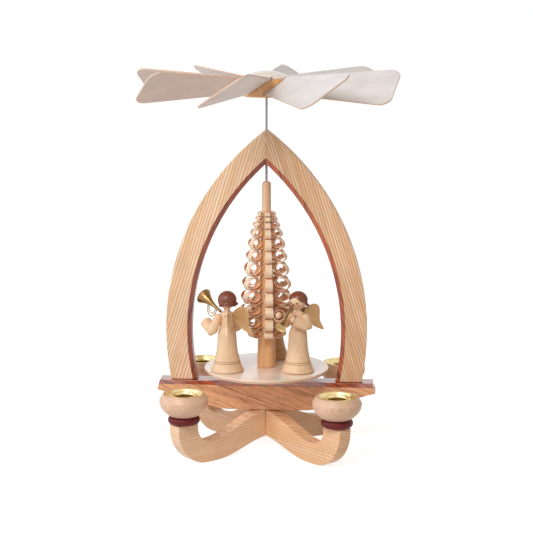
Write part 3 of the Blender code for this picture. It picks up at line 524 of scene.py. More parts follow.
def dish_profile():
    """The pressed dish: socket, rolled lip, sloping dish and its flat rim, of even sheet."""
    top = CUP_HEIGHT
    floor = top - SOCKET_DEPTH
    valley = top - DISH_DEPTH
    lip = (SOCKET_RADIUS + LIP_RADIUS) / 2
    half_lip = (LIP_RADIUS - SOCKET_RADIUS) / 2
    rise = top - LIP_DROP - valley
    roll = arc((0, 0), 1.0, 180, 0, 16)
    slope = [(LIP_RADIUS, valley), (LIP_RADIUS + DISH_VALLEY, valley)]
    slope += [(DISH_RADIUS - SHEET, top - DISH_RIM_DROP), (DISH_RADIUS, top)]
    upper = eased([(0.0, floor), (SOCKET_RADIUS, floor), (SOCKET_RADIUS, valley)], DISH_EDGE)
    upper += [(lip + half_lip * way, valley + rise * up) for way, up in roll]
    upper += eased(slope, DISH_EDGE)
    outer = SOCKET_RADIUS + SHEET
    lower = [(DISH_RADIUS, top - SHEET), (LIP_RADIUS, valley - SHEET)]
    lower += [(outer, valley - SHEET), (outer, floor - SHEET), (0.0, floor - SHEET)]
    return upper + lower


brass_dish = turned(dish_profile(), 72)
# The faces down in the socket are toned dark and dull: painted shade in the hole.
socket_faces = []
for face in brass_dish.polygons:
    deep = face.center.z < CUP_HEIGHT - DISH_DEPTH
    socket_faces.append(float(deep and face.center.xy.length < SOCKET_RADIUS))
tone_faces(brass_dish, socket_faces)
holders = (
    ("cup_ring", turned(ring_profile(), 64, wrap=True), RED_STAIN, "red_stain", RING_Z),
    ("candle_cup", turned(cup_profile(), 72), BEECH, "beech", CUP_Z),
    ("candle_insert", brass_dish, BRASS, "brass", CUP_Z),
)
for seed, (node, mesh, material, slot, height) in enumerate(holders, 3):
    lay_grain(mesh, (0.1, 0.05, 1.0), (0.88, -0.53, 0.0))
    values = {"Count": len(HOOKS), "Reach": BAR_REACH, "Height": height, "First turn": math.pi / 4,
              "Tilt": 0.0, "Seed": seed, "Finish": material}
    four = smoothed(grown(ROUND_THE_AXIS, mesh, values))
    dress(node + "_set", four, material, "base", slot, *[node + "_" + hook for hook in HOOKS])

# Cross beam and its strip
# A mahogany beam with ends that lean out and a belly sloped to a flat middle, screwed on from below.
# A thin strip of dark padauk is glued along its top. The beam's grain runs out of its face on the slant.

BEAM_TOP_LENGTH = 0.1624
BEAM_END_LEAN = 0.0019
BEAM_END_HEIGHT = 0.0077
BEAM_DEPTH = 0.0152
BEAM_HEIGHT = 0.0186
BEAM_FLAT_LENGTH = 0.0685
BEAM_BLEND_RADIUS = 0.045
STRIP_THICKNESS = 0.0031
POCKET_RADIUS = 0.0033
POCKET_DEPTH = 0.0048
BEAM_EDGE = 0.0004
STRIP_EDGE = 0.0003
BEAM_Z = BAR_TOP_Z + FIT
STRIP_Z = BEAM_Z + BEAM_HEIGHT + FIT
BEAM_TOP_Z = STRIP_Z + STRIP_THICKNESS


def beam_half_length(drop):
    """Half the beam's length at a depth below its top."""
    return BEAM_TOP_LENGTH / 2 + BEAM_END_LEAN * drop / BEAM_END_HEIGHT


def beam_outline():
    """The beam's front face."""
    end = (beam_half_length(BEAM_END_HEIGHT), BEAM_TOP_Z - BEAM_END_HEIGHT)
    knee = BEAM_FLAT_LENGTH / 2
    slope = math.atan2(end[1] - BEAM_Z, end[0] - knee)
    centre = (knee - BEAM_BLEND_RADIUS * math.tan(slope / 2), BEAM_Z + BEAM_BLEND_RADIUS)
    half = [(beam_half_length(STRIP_THICKNESS + FIT), BEAM_Z + BEAM_HEIGHT), end]
    half += arc(centre, BEAM_BLEND_RADIUS, -90 + math.degrees(slope), -90, 16)
    return half + [(-x, z) for x, z in reversed(half)]


def bearing_pocket():
    """The tool for the round pocket that the pivot bearing sits in."""
    return drill(POCKET_RADIUS, BEAM_TOP_Z, 2 * POCKET_DEPTH, 36)


MAHOGANY = wood("mahogany", shade(246, 184, 134), shade(146, 78, 48), 0.0042, pith=0.2, waver=0.0036,
                streak=0.9, fleck=0.3, bands=0.65)
PADAUK = wood("padauk", shade(188, 86, 46), shade(58, 16, 20), 0.0046, pith=0.15, waver=0.0030, streak=0.7,
              gloss=0.36, coat=1.0)
finish(PADAUK, {"Coat IOR": 1.7, "Coat Roughness": 0.1})
beam_mesh = sanded(sawn(beam_outline(), BEAM_DEPTH), BEAM_EDGE, bearing_pocket())
lay_grain(beam_mesh, (1.0, 0.08, -0.40), (0.37, 0.5, 0.93), (0.01, 0.0, 0.3))
dress("cross_beam_sawn", beam_mesh, MAHOGANY, "base", "mahogany", "cross_beam")

strip_outline = [(beam_half_length(0.0), BEAM_TOP_Z), (beam_half_length(STRIP_THICKNESS), STRIP_Z - FIT)]
strip_outline += [(-x, z) for x, z in reversed(strip_outline)]
strip_mesh = sanded(sawn(strip_outline, BEAM_DEPTH), STRIP_EDGE, bearing_pocket())
lay_grain(strip_mesh, (1.0, 0.3, -0.5), (0.5, 0.3, 1.0))
dress("beam_strip_sawn", strip_mesh, PADAUK, "base", "padauk", "beam_strip")

# Pointed arch
# Two ash legs sawn to an arc and mitred at the top, each lined inside with a thin sawn padauk strip.
# Both legs come from one straight-grained board, so the lines lean in towards the mitre on each side.

ARCH_RADIUS = 0.1917
ARCH_FOOT_REACH = 0.0725
ARCH_CENTRE_LIFT = 0.0374
LEG_BAND = 0.0163
LEG_DEPTH = 0.010
LINING_THICKNESS = 0.0033
LEG_LEAN = 17.5
MITRE_GAP = 0.00003
LEG_EDGE = 0.0004
LINING_EDGE = 0.0003
SPINDLE_WAY = 0.0015
SPINDLE_WAY_DEPTH = 0.08
ARCH_FOOT_Z = BEAM_TOP_Z + FIT
ARCH_CENTRE_Z = ARCH_FOOT_Z + ARCH_CENTRE_LIFT
ARCH_CENTRE_OFFSET = math.sqrt(ARCH_RADIUS**2 - ARCH_CENTRE_LIFT**2) - ARCH_FOOT_REACH
APEX_Z = ARCH_CENTRE_Z + math.sqrt(ARCH_RADIUS**2 - ARCH_CENTRE_OFFSET**2)
LEG_INNER = ARCH_RADIUS - LEG_BAND


def arch_band(outer, inner, side):
    """The outline of one curved band, from the beam up to the mitre."""
    centre = (-ARCH_CENTRE_OFFSET, ARCH_CENTRE_Z)
    mitre = ARCH_CENTRE_OFFSET + MITRE_GAP
    ends = []
    for radius in (outer, inner):
        foot = -math.degrees(math.asin(ARCH_CENTRE_LIFT / radius))
        ends.append((foot, math.degrees(math.acos(mitre / radius))))
    band = arc(centre, outer, *ends[0], 60) + arc(centre, inner, *reversed(ends[1]), 60)
    return [(side * x, z) for x, z in band]


def spindle_way():
    """The tool for the hole that the spindle runs in."""
    return drill(SPINDLE_WAY, APEX_Z, SPINDLE_WAY_DEPTH, 18)


# The right leg has darker colours than the left, though both come from one board: painted shade, as the light
# falls off to the right.
ASH_LEG_TONES = {
    "left": (shade(224, 172, 120), shade(255, 234, 208), 0.0022),
    "right": (shade(212, 157, 105), shade(248, 219, 188), 0.0020),
}
LINING_TONES = {
    "left": (shade(150, 66, 34), shade(58, 20, 12), 0.7),
    "right": (shade(202, 106, 64), shade(84, 32, 22), 0.5),
}
for side, word in ((-1, "left"), (1, "right")):
    lean = math.radians(LEG_LEAN)
    fibres = (-side * math.sin(lean), 0.0, math.cos(lean))
    ash = wood("ash_leg_" + word, *ASH_LEG_TONES[word], pith=0.3, waver=0.0008, streak=0.45, crisp=True)
    leg = sawn(arch_band(ARCH_RADIUS, LEG_INNER, side), LEG_DEPTH)
    leg_mesh = sanded(leg, LEG_EDGE, spindle_way())
    lay_grain(leg_mesh, fibres, (side, 0.25, 0.0), (0.011 * side, 0.0, side))
    dress("arch_leg_%s_sawn" % word, leg_mesh, ash, "base", "ash", "arch_leg_" + word)
    ground, lines, fleck = LINING_TONES[word]
    padauk = wood("padauk_lining_" + word, ground, lines, 0.0026, pith=0.1, waver=0.003, streak=0.9,
                  fleck=fleck, gloss=0.4, coat=0.3)
    lining = sawn(arch_band(LEG_INNER, LEG_INNER - LINING_THICKNESS, side), LEG_DEPTH)
    lining_mesh = sanded(lining, LINING_EDGE, spindle_way())
    lay_grain(lining_mesh, fibres, (side, 0.6, 0.0), (0.0, 0.0, side))
    dress("arch_lining_%s_bent" % word, lining_mesh, padauk, "base", "padauk", "arch_lining_" + word)

# Fittings inside
# A steel screw holds the beam to the cross, beech dowels hold the legs, and the spindle runs on a brass
# bearing and through a brass bush. They are the CAD nodes themselves, with a finish.

STEEL = metal("steel", shade(150, 142, 146), 0.3, shade(120, 112, 116))
DOWEL_BEECH = wood("dowel_beech", shade(232, 196, 160), shade(205, 158, 115), 0.002, carried=True)
fitting_finishes = {"beam_screw": STEEL, "leg_dowel_left": DOWEL_BEECH, "leg_dowel_right": DOWEL_BEECH,
                    "pivot_bearing": BRASS, "guide_bush": BRASS}
for fitting, material in fitting_finishes.items():
    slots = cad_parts[fitting].data.materials
    slots.clear()
    slots.append(material)

# Spindle and turntable
# A drawn steel rod, pointed at its foot, carries a thin two-layer limewood plate, stepped at its edge.
# The plate is turned and waxed, and its face is bright where it takes the light. Its rim and its stepped
# lower layer are toned darker as painted shade.

SPINDLE_RADIUS = 0.00085
SPINDLE_POINT = 0.0018
SPINDLE_EDGE = 0.0002
BEARING_HEIGHT = 0.0045
PLATE_GAP = 0.0074
PLATE_RADIUS = 0.0471
PLATE_LOWER_THICKNESS = 0.0013
PLATE_UPPER_THICKNESS = 0.0016
PLATE_STEP = 0.0007
PLATE_EDGE = 0.0003
PLATE_GROOVE_DEPTH = 0.0004
PLATE_GROOVE_HEIGHT = 0.0003
PLATE_LOWER_TONE = 1.0
PLATE_RIM_TONE = 0.6
HUB_ABOVE_APEX = 0.0241
HUB_BORE_DEPTH = 0.0125
PLATE_Z = BEAM_TOP_Z + PLATE_GAP
PLATE_SEAM_Z = PLATE_Z + PLATE_LOWER_THICKNESS
PLATE_TOP_Z = PLATE_SEAM_Z + PLATE_UPPER_THICKNESS
HUB_Z = APEX_Z + HUB_ABOVE_APEX
SPINDLE_Z = BEAM_TOP_Z - BEARING_HEIGHT / 2 + FIT
SPINDLE_TOP_Z = HUB_Z + HUB_BORE_DEPTH - FIT

spindle_profile = [(0.0, SPINDLE_TOP_Z), (SPINDLE_RADIUS, SPINDLE_TOP_Z)]
spindle_profile += [(SPINDLE_RADIUS, SPINDLE_Z + SPINDLE_POINT), (0.0, SPINDLE_Z)]
spindle_mesh = turned(eased(spindle_profile, SPINDLE_EDGE), 32)
dress("spindle_drawn", spindle_mesh, STEEL, "rotor", "steel", "spindle")

LIME_PLATE = wood("lime_plate", shade(255, 240, 222), shade(244, 216, 188), 0.0042, pith=0.12, waver=0.002,
                  streak=0.25, gloss=0.3, coat=1.0, bands=0.6, second=shade(236, 206, 176))
plate_bore = SPINDLE_RADIUS + FIT
lower_edge = PLATE_RADIUS - PLATE_STEP
plate_rim = [(plate_bore, PLATE_TOP_Z), (PLATE_RADIUS, PLATE_TOP_Z), (PLATE_RADIUS, PLATE_SEAM_Z)]
groove_z = PLATE_SEAM_Z - PLATE_GROOVE_HEIGHT
plate_rim += [(lower_edge - PLATE_GROOVE_DEPTH, PLATE_SEAM_Z), (lower_edge - PLATE_GROOVE_DEPTH, groove_z)]
plate_rim += [(lower_edge, groove_z), (lower_edge, PLATE_Z), (plate_bore, PLATE_Z)]
plate_mesh = lay_grain(turned(eased(plate_rim, PLATE_EDGE), 160, wrap=True), (1, 0.3, 0), (0, 0.35, 1))
# Painted shade: the upper layer's rim and the lower layer under the step take the darker second colour.
edge_tones = []
for face in plate_mesh.polygons:
    rim_tone = PLATE_RIM_TONE if face.normal.z < 0.5 else 0.0
    edge_tones.append(PLATE_LOWER_TONE if face.center.z < PLATE_SEAM_Z else rim_tone)
tone_faces(plate_mesh, edge_tones)
dress("turntable_plate_turned", plate_mesh, LIME_PLATE, "rotor", "limewood", "turntable_plate")

# Shaved tree
# A limewood stick, round at its foot and six-sided above. Each face is shaved from above with a chisel
# into a column of curls that stay joined at their feet. The plain tip above them is round.

TREE_TURN = -19.0
TREE_COLUMNS = 6
TREE_FACET_REACH = 0.0064
TREE_NECK_REACH = 0.0034
TREE_FOOT_RADIUS = 0.0071
TREE_ROUND_FOOT = 0.0120
TREE_SCALLOP = 0.0045
TREE_BARE_TRUNK = 0.0229
TREE_TIP_RADIUS = 0.0033
TREE_TIP_CROWN = 0.0022
TREE_TIP_LENGTH = 0.0225
TREE_TIP_MIDDLE = 0.008
TREE_TIP_ROUNDING = 0.82
TREE_NECK_LEDGE = 0.0004
STEM_CORNER = 1.13
STEM_SIDES = 72
CURL_THICKNESS = 0.0004
CURL_GAP = 0.0004
CURL_POINTS = 56
CURL_EASE = 0.85
CURL_DRIFT = 0.3
CURL_FOOT = (-1.12, -0.45)
CURL_WELD = 0.00001
CURL_GRAIN_WIDTH = 0.006
CURL_GRAIN_LENGTH = 0.04
TIER_HEIGHTS = (0.0065, 0.0098, 0.0092, 0.0106, 0.0106, 0.0108,
                0.0091, 0.0092, 0.0071, 0.0052, 0.0040, 0.0036)
TIER_REACHES = (0.0150, 0.0190, 0.0203, 0.0202, 0.0192, 0.0177,
                0.0161, 0.0144, 0.0125, 0.0104, 0.0084, 0.0070)
TREE_Z = PLATE_TOP_Z + FIT
TREE_CURLS_Z = TREE_Z + TREE_BARE_TRUNK
TREE_NECK_Z = TREE_CURLS_Z + sum(TIER_HEIGHTS)
TREE_TOP_Z = TREE_NECK_Z + TREE_TIP_LENGTH
FACET_HALF_ANGLE = math.pi / TREE_COLUMNS


def facet_reach(height):
    """Distance from the axis to a face of the stem at a height."""
    share = (height - TREE_Z) / (TREE_NECK_Z - TREE_Z)
    return TREE_FACET_REACH + (TREE_NECK_REACH - TREE_FACET_REACH) * share


def stem_ring(height):
    """The stem's section: six chisel faces that run out into the round foot below and the round tip above."""
    facing = facet_reach(min(height, TREE_NECK_Z))
    foot = min(1.0, max(0.0, (height - TREE_Z - TREE_ROUND_FOOT) / TREE_SCALLOP))
    facing = TREE_FOOT_RADIUS + (facing - TREE_FOOT_RADIUS) * math.sqrt(foot)
    corner = min(TREE_FOOT_RADIUS, facet_reach(height) * STEM_CORNER)
    if height >= TREE_NECK_Z:
        share = (height - TREE_NECK_Z) / TREE_TIP_LENGTH
        corner = TREE_NECK_REACH + (TREE_TIP_RADIUS - TREE_NECK_REACH) * share
        drop = max(0.0, height - (TREE_TOP_Z - TREE_TIP_CROWN)) / TREE_TIP_CROWN
        corner *= math.sqrt(1 - (TREE_TIP_ROUNDING * drop) ** 2)
        facing = corner
    ring = []
    for i in range(STEM_SIDES):
        angle = math.tau * i / STEM_SIDES
        off = (angle + FACET_HALF_ANGLE) % (2 * FACET_HALF_ANGLE) - FACET_HALF_ANGLE
        reach = min(corner, facing / math.cos(off))
        way = angle + math.radians(TREE_TURN)
        ring.append((reach * math.cos(way), reach * math.sin(way), height))
    return ring


def shaved_curls():
    """Sets a spiral shaving on each seat: out at its foot, up, over and round into itself."""
    inputs = {"Geometry": "Geometry", "Start": "Float", "Turn": "Float", "Open": "Float", "Closing": "Float",
              "Thickness": "Float", "Roll": "Float", "Seed": "Int", "Finish": "Material"}
    tree, given = new_tree("shaved_curls", inputs)
    sheet = put(tree, "GeometryNodeMeshGrid", {0: 1.0, 1: 1.0, 2: CURL_POINTS, 3: 3}).outputs[0]
    place = put(tree, "ShaderNodeSeparateXYZ", {0: put(tree, "GeometryNodeInputPosition").outputs[0]})
    along = reckon(tree, "ADD", place.outputs[0], 0.5)
    lead = 1 / (CURL_POINTS - 1)
    share = reckon(tree, "DIVIDE", reckon(tree, "SUBTRACT", along, lead), 1 - lead)
    share = reckon(tree, "MAXIMUM", share, 0.0)
    angle = reckon(tree, "MULTIPLY_ADD", share, given["Turn"], given["Start"])
    shut = reckon(tree, "DIVIDE", reckon(tree, "SUBTRACT", share, given["Open"]),
                  reckon(tree, "SUBTRACT", 1.0, given["Open"]))
    shut = reckon(tree, "POWER", reckon(tree, "MAXIMUM", shut, 0.0), CURL_EASE)
    closing = reckon(tree, "MULTIPLY", shut, given["Closing"])
    size = reckon(tree, "SUBTRACT", 1.0, closing)
    drift = reckon(tree, "MULTIPLY", closing, CURL_DRIFT)
    out = reckon(tree, "MULTIPLY_ADD", reckon(tree, "COSINE", angle), size, drift)
    up = reckon(tree, "MULTIPLY", reckon(tree, "SINE", angle), size)
    curl = put(tree, "ShaderNodeCombineXYZ", {0: out, 1: place.outputs[1], 2: up}).outputs[0]
    foot_feeds = {0: CURL_FOOT[0], 1: place.outputs[1], 2: CURL_FOOT[1]}
    foot = put(tree, "ShaderNodeCombineXYZ", foot_feeds).outputs[0]
    at_foot = reckon(tree, "LESS_THAN", along, lead / 2)
    route = put(tree, "ShaderNodeMix", {0: at_foot, 4: curl, 5: foot}, data_type="VECTOR").outputs[1]
    width_way = reckon(tree, "MULTIPLY", place.outputs[1], CURL_GRAIN_WIDTH)
    length_way = reckon(tree, "MULTIPLY", along, CURL_GRAIN_LENGTH)
    fibres = put(tree, "ShaderNodeCombineXYZ", {0: width_way, 2: length_way}).outputs[0]
    grained = stored(tree, sheet, "grain", fibres)
    rolled = put(tree, "GeometryNodeSetPosition", {"Geometry": grained, "Position": route}).outputs[0]
    feeds = {2: reckon(tree, "MULTIPLY", given["Roll"], -1.0), 3: given["Roll"], "Seed": given["Seed"]}
    roll = put(tree, "FunctionNodeRandomValue", feeds, data_type="FLOAT").outputs[1]
    facing = put(tree, "ShaderNodeCombineXYZ", {1: roll, 2: named(tree, "seat_turn", "FLOAT")}).outputs[0]
    feeds = {"Points": given["Geometry"], "Instance": rolled, "Rotation": facing,
             "Scale": named(tree, "curl_size")}
    real = realized(tree, put(tree, "GeometryNodeInstanceOnPoints", feeds).outputs[0], given["Seed"])
    feeds = {"Mesh": real, "Offset Scale": given["Thickness"], "Individual": False}
    inner = put(tree, "GeometryNodeExtrudeMesh", feeds)
    # The inner faces take the tone, a darker, more orange colour: painted shade inside the curl.
    toned = stored(tree, inner.outputs[0], "tone", 1.0, "FLOAT", "FACE", Selection=inner.outputs["Top"])
    outer = put(tree, "GeometryNodeFlipFaces", {0: real}).outputs[0]
    both = put(tree, "GeometryNodeJoinGeometry")
    tree.links.new(toned, both.inputs[0])
    tree.links.new(outer, both.inputs[0])
    closed = put(tree, "GeometryNodeMergeByDistance", {"Geometry": both.outputs[0], "Distance": CURL_WELD})
    return closed_tree(tree, closed.outputs[0], given["Finish"])


def curl_seats():
    """One point for each shaving, with the way it faces and its half width, ribbon width and half height."""
    spots, turns, sizes = [], [], []
    for column in range(TREE_COLUMNS):
        turn = math.radians(TREE_TURN) + 2 * column * FACET_HALF_ANGLE
        low = TREE_CURLS_Z
        for height, reach in zip(TIER_HEIGHTS, TIER_REACHES):
            half_height = (height - CURL_GAP) / 2
            half_width = (reach - facet_reach(low)) / 2
            ribbon = 2 * facet_reach(low + height) * math.tan(FACET_HALF_ANGLE)
            out = reach - half_width
            spots.append((out * math.cos(turn), out * math.sin(turn), low + CURL_GAP / 2 + half_height))
            turns.append(turn)
            sizes += [half_width, ribbon, half_height]
            low += height
    seats = bpy.data.meshes.new("curl_seats")
    seats.from_pydata(spots, [], [])
    seats.attributes.new("seat_turn", "FLOAT", "POINT").data.foreach_set("value", turns)
    seats.attributes.new("curl_size", "FLOAT_VECTOR", "POINT").data.foreach_set("vector", sizes)
    return seats


LIME_STEM = wood("lime_stem", shade(238, 198, 162), shade(216, 162, 118), 0.0024, pith=0.05, streak=0.3,
                 gloss=0.5, second=shade(250, 236, 210))
# Its second colour is painted shade on the inner faces of the curls.
LIME_CURL = wood("lime_curl", shade(255, 222, 194), shade(242, 188, 150), 0.0012, streak=0.3, gloss=0.5,
                 bands=0.4, second=shade(252, 222, 182))
finish(LIME_CURL, {"Subsurface Weight": 0.6, "Subsurface Radius": (1.0, 0.5, 0.25),
                   "Subsurface Scale": 0.0012})
stem_heights = [TREE_Z + TREE_ROUND_FOOT * i / 4 for i in range(5)]
stem_heights += [stem_heights[-1] + TREE_SCALLOP * (i / 8) ** 1.6 for i in range(1, 9)]
stem_face = TREE_NECK_Z - stem_heights[-1] - TREE_NECK_LEDGE
stem_heights += [stem_heights[-1] + stem_face * i / 20 for i in range(1, 21)]
stem_heights += [TREE_NECK_Z, TREE_NECK_Z + TREE_TIP_MIDDLE, TREE_TOP_Z - TREE_TIP_CROWN]
stem_heights += [TREE_TOP_Z - TREE_TIP_CROWN * (1 - i / 8) for i in range(1, 9)]
stem_rings = [level_ring(plate_bore, height, STEM_SIDES) for height in (TREE_Z, TREE_TOP_Z)]
stem_rings += [stem_ring(height) for height in reversed(stem_heights)]
stem_mesh = lay_grain(skin(stem_rings, wrap=True), (0, 0, 1), (0.4, -1, 0))
# Below the tip the stem is toned darker and more orange: painted shade under and between the curls.
tone_faces(stem_mesh, [float(face.center.z < TREE_NECK_Z) for face in stem_mesh.polygons])
dress("tree_stem_shaved", stem_mesh, LIME_STEM, "rotor", "limewood", "shaved_tree")
curl_values = {"Start": math.radians(-140), "Turn": math.radians(480), "Open": 0.46, "Closing": 0.6,
               "Thickness": CURL_THICKNESS, "Roll": math.radians(5), "Seed": 11, "Finish": LIME_CURL}
curl_mesh = smoothed(grown(shaved_curls(), curl_seats(), curl_values), 50)
dress("tree_curls_shaved", curl_mesh, LIME_CURL, "rotor", "limewood", "shaved_tree")

# Angels
# Three turned limewood figures glued to the plate: a flared skirt, a ball head under painted hair, mitred
# sleeves with round pegs for hands, sawn wings in gold paint, and a brass horn at the lips or in a hand.

ANGEL_NAMES = ("left", "right", "back")
ANGEL_SPREADS = (0.0330, 0.0288, 0.0308)
ANGEL_PLACES = (211.2, 329.6, 85.0)
ANGEL_FACING = -86.5
SKIRT_RADIUS = 0.0125
SKIRT_WAIST_RADIUS = 0.0051
SKIRT_HIP_RADIUS = 0.0070
SKIRT_HIP_Z = 0.0270
SKIRT_HEIGHT = 0.0336
SKIRT_FLARE = 2.7
SKIRT_WAIST_CURVE = 1.7
SKIRT_FOOT_LIFT = 0.0006
SKIRT_STEPS = 31
CHEST_Z = SKIRT_HEIGHT + 0.0080
SHOULDER_Z = SKIRT_HEIGHT + 0.0116
NECK_Z = SHOULDER_Z + 0.0017
HEAD_RADIUS = 0.0066
HEAD_Z = NECK_Z + FIT + HEAD_RADIUS
MOUTH_DROP = 0.0021
MOUTH_REACH = math.sqrt(HEAD_RADIUS**2 - MOUTH_DROP**2) + FIT
DAB_CREST = 0.00008
DAB_RINGS = ((0.6, 0.00007), (1.0, 0.00002), (1.0, -0.0002))
DAB_ROOT = 0.0003
EYE = ((0.0059, 0.0024, -0.0013), 0.0011, 0.0006)
CHEEK = ((0.0050, 0.0034, -0.0034), 0.0010, 0.0008)
MOUTH = ((0.0057, 0.0, -0.0037), 0.0009, 0.00035)
HAIR_RADIUS = 0.0071
HAIR_SETBACK = 0.0005
HAIR_FRONT_Z = 0.0024
HAIR_BACK_Z = -0.0041
HAIR_HEM_CURVE = 2.2
HAIR_HEM_WAVE = 0.0005
HAIR_COMB = 0.00002
HAIR_ROLL_HEIGHTS = (-0.0008, -0.0024)
HAIR_ROLL_WIDTH = 0.00045
HAIR_ROLL_DEPTH = 0.0006
HAIR_ROLL_SLANT = 0.0006
FLICK_ROUTE = (
    (-0.0016, 0.0058, -0.0018), (-0.0020, 0.0064, -0.0027), (-0.0024, 0.0070, -0.0032),
    (-0.0028, 0.0075, -0.0031), (-0.0031, 0.0079, -0.0027),
)
FLICK_RADII = (0.0011, 0.0013, 0.0012, 0.0008, 0.0003)
NECK_REACHES = (0.0, 0.0008, 0.0016, 0.0024)
NECK_HOLLOW = 0.00005
BODICE = (
    (0.0024, SHOULDER_Z + 0.0004), (0.0030, SHOULDER_Z + 0.0001), (0.0042, SHOULDER_Z - 0.0008),
    (0.0050, CHEST_Z + 0.0018), (0.0054, CHEST_Z + 0.0002), (0.0055, CHEST_Z - 0.0018),
    (0.0054, CHEST_Z - 0.0048), (0.0053, SKIRT_HEIGHT + 0.0008), (0.0051, SKIRT_HEIGHT + 0.0003),
)
HEM = ((SKIRT_RADIUS, 0.0009), (SKIRT_RADIUS, 0.0004), (SKIRT_RADIUS - 0.0004, 0.0), (0.0, 0.0))
ARM_RADIUS = 0.0032
CUFF_RADIUS = 0.0044
HAND_RADIUS = 0.0026
HAND_OUT = 0.0002
SHOULDER_PLACE = (0.0005, 0.0068)
ELBOW_PLACE = (0.0042, 0.0104)
ELBOW_DROPS = (0.0115, 0.0058, 0.0072)
ELBOW_BENDS = (0.16, 0.14)
LEFT_CUFF_PLACES = ((0.0146, 0.0098), (0.0104, 0.0026), (0.0150, 0.0076))
LEFT_CUFF_RISES = (0.0051, 0.0050, 0.0058)
RIGHT_CUFF_PLACES = ((0.0150, 0.0076), (0.0150, 0.0076), (0.0150, 0.0076))
RIGHT_CUFF_RISES = (0.0067, 0.0082, 0.0058)
CUFF_RIM = 0.0004
CUFF_HOLLOW = 0.0026
WING_THICKNESS = 0.0010
WING_EDGE = 0.00025
FLAT_FACE = 0.9
WING_SPREAD = 29.0
WING_ROOT = 0.0050
WING_OUTLINE = (
    (0.0003, 0.0048), (0.0003, 0.0112), (0.0045, 0.0153), (0.0090, 0.0166),
    (0.0128, 0.0148), (0.0139, 0.0109), (0.0138, 0.0064), (0.0146, 0.0022),
    (0.0174, -0.0040), (0.0094, -0.0010), (0.0025, 0.0036),
)
PEG_BEARINGS = (138.0, 204.0)
PEG_REACH = 0.0055
PEG_Z = 0.0424
PEG_PROFILE = ((0.0, 0.0002), (0.0004, 0.00015), (0.0005, 0.0), (0.0005, -0.0008), (0.0, -0.0008))
HORN_OFFSETS = ((0.0004, 0.0015, -0.0078), (0.0, 0.0, 0.0), (0.0, 0.0, 0.0))
HORN_YAWS = (11.5, 0.0, 0.0)
HORN_PITCHES = (24.0, -38.0, -38.0)
HORN_LENGTHS = (0.0220, 0.0236, 0.0236)
HORN_BELL_RADII = (0.0061, 0.0043, 0.0043)
HORN_FLARES = (2.6, 7.0, 7.0)
HORN_TIP_RADII = (0.0011, 0.0007, 0.0007)
HORN_WALL = 0.0004
HORN_LIP = 0.0001
HORN_LIP_DEPTH = 0.0002
HORN_STEPS = 26
HORN_BELL_STEPS = (11, 2, 2)
HORN_BELL_TONES = (0.7, 1.0, 1.0)
LOOP_WIRE_RADII = (0.0004, 0.0005, 0.0005)
LOOP_STARTS = (0.0155, 0.0165, 0.0165)
LOOP_ENDS = (0.0045, 0.0040, 0.0040)
LOOP_REACHES = (-0.0100, 0.0028, 0.0028)
LOOP_SIZES = ((1.0, 0.74), (1.0,), (1.0,))
# The left horn's wire is toned pale and less metallic: a painted highlight along the thin wire.
LOOP_TONES = (0.6, 0.0, 0.0)
STRIPE_HEIGHTS = (0.0066, 0.0079)
STRIPE_WIDTH = 0.0005


def striped(material, heights, width, colour):
    """Paints level stripes over a turned wood, at heights above the table."""
    tree = material.node_tree
    under = tree.nodes["Principled BSDF"].inputs["Base Color"].links[0].from_socket
    place = put(tree, "ShaderNodeTexCoord").outputs["Object"]
    height = put(tree, "ShaderNodeSeparateXYZ", {0: place}).outputs[2]
    for level in heights:
        away = reckon(tree, "ABSOLUTE", reckon(tree, "SUBTRACT", height, level))
        under = mixed(tree, reckon(tree, "LESS_THAN", away, width / 2), under, colour)
    finish(material, {"Base Color": under})


def paint(name, colour, worn, rough, metallic=0.0, edge=None):
    """Brushed-on paint with slight thin spots; sawn edges may be paler."""
    material, tree = bare_material(name)
    strokes = mottle(tree, put(tree, "ShaderNodeTexCoord").outputs["Object"], 700, 4)
    coating = mixed(tree, ranged(tree, strokes, 0.4, 0.7), colour, worn)
    if edge:
        coating = mixed(tree, face_tone(tree), coating, edge)
    brushed = reckon(tree, "MULTIPLY_ADD", strokes, 0.2, rough - 0.1)
    finish(material, {"Base Color": coating, "Roughness": brushed, "Normal": roughened(tree, strokes),
                      "Metallic": metallic})
    return material


def joined(*meshes):
    """Several meshes as one, each keeping its material."""
    shape = bmesh.new()
    materials = []
    for mesh in meshes:
        offset = len(materials)
        count = len(shape.faces)
        shape.from_mesh(mesh)
        shape.faces.ensure_lookup_table()
        for face in shape.faces[count:]:
            face.material_index += offset
        materials += list(mesh.materials)
    whole = bpy.data.meshes.new("joined")
    shape.to_mesh(whole)
    shape.free()
    for material in materials:
        whole.materials.append(material)
    return whole


def swept(route, radii, sides, nose=(), tail=()):
    """A round bar along a route, mitred at its corners; nose and tail are more rings of offset and radius."""
    route = [Vector(spot) for spot in route]
    ways = [(after - before).normalized() for before, after in zip(route, route[1:])]
    side = ways[0].orthogonal().normalized()
    turns = [-math.tau * k / sides for k in range(sides)]

    def spokes(radius, way):
        up = way.cross(side)
        return [radius * (side * math.cos(a) + up * math.sin(a)) for a in turns]

    rings = [[tuple(route[0] + ways[0] * (nose[0][0] if nose else 0.0))]]
    for offset, radius in nose:
        rings.append([tuple(route[0] + ways[0] * offset + arm) for arm in spokes(radius, ways[0])])
    for i, (spot, radius) in enumerate(zip(route, radii)):
        before = ways[max(i - 1, 0)]
        after = ways[min(i, len(ways) - 1)]
        plane = (before + after).normalized()
        rings.append([tuple(spot + arm - before * (arm.dot(plane) / before.dot(plane)))
                      for arm in spokes(radius, before)])
        side = before.rotation_difference(after) @ side
    for offset, radius in tail:
        rings.append([tuple(route[-1] + ways[-1] * offset + arm) for arm in spokes(radius, ways[-1])])
    last = route[-1] + ways[-1] * (tail[-1][0] if tail else 0.0)
    return skin(rings + [[tuple(last)]])


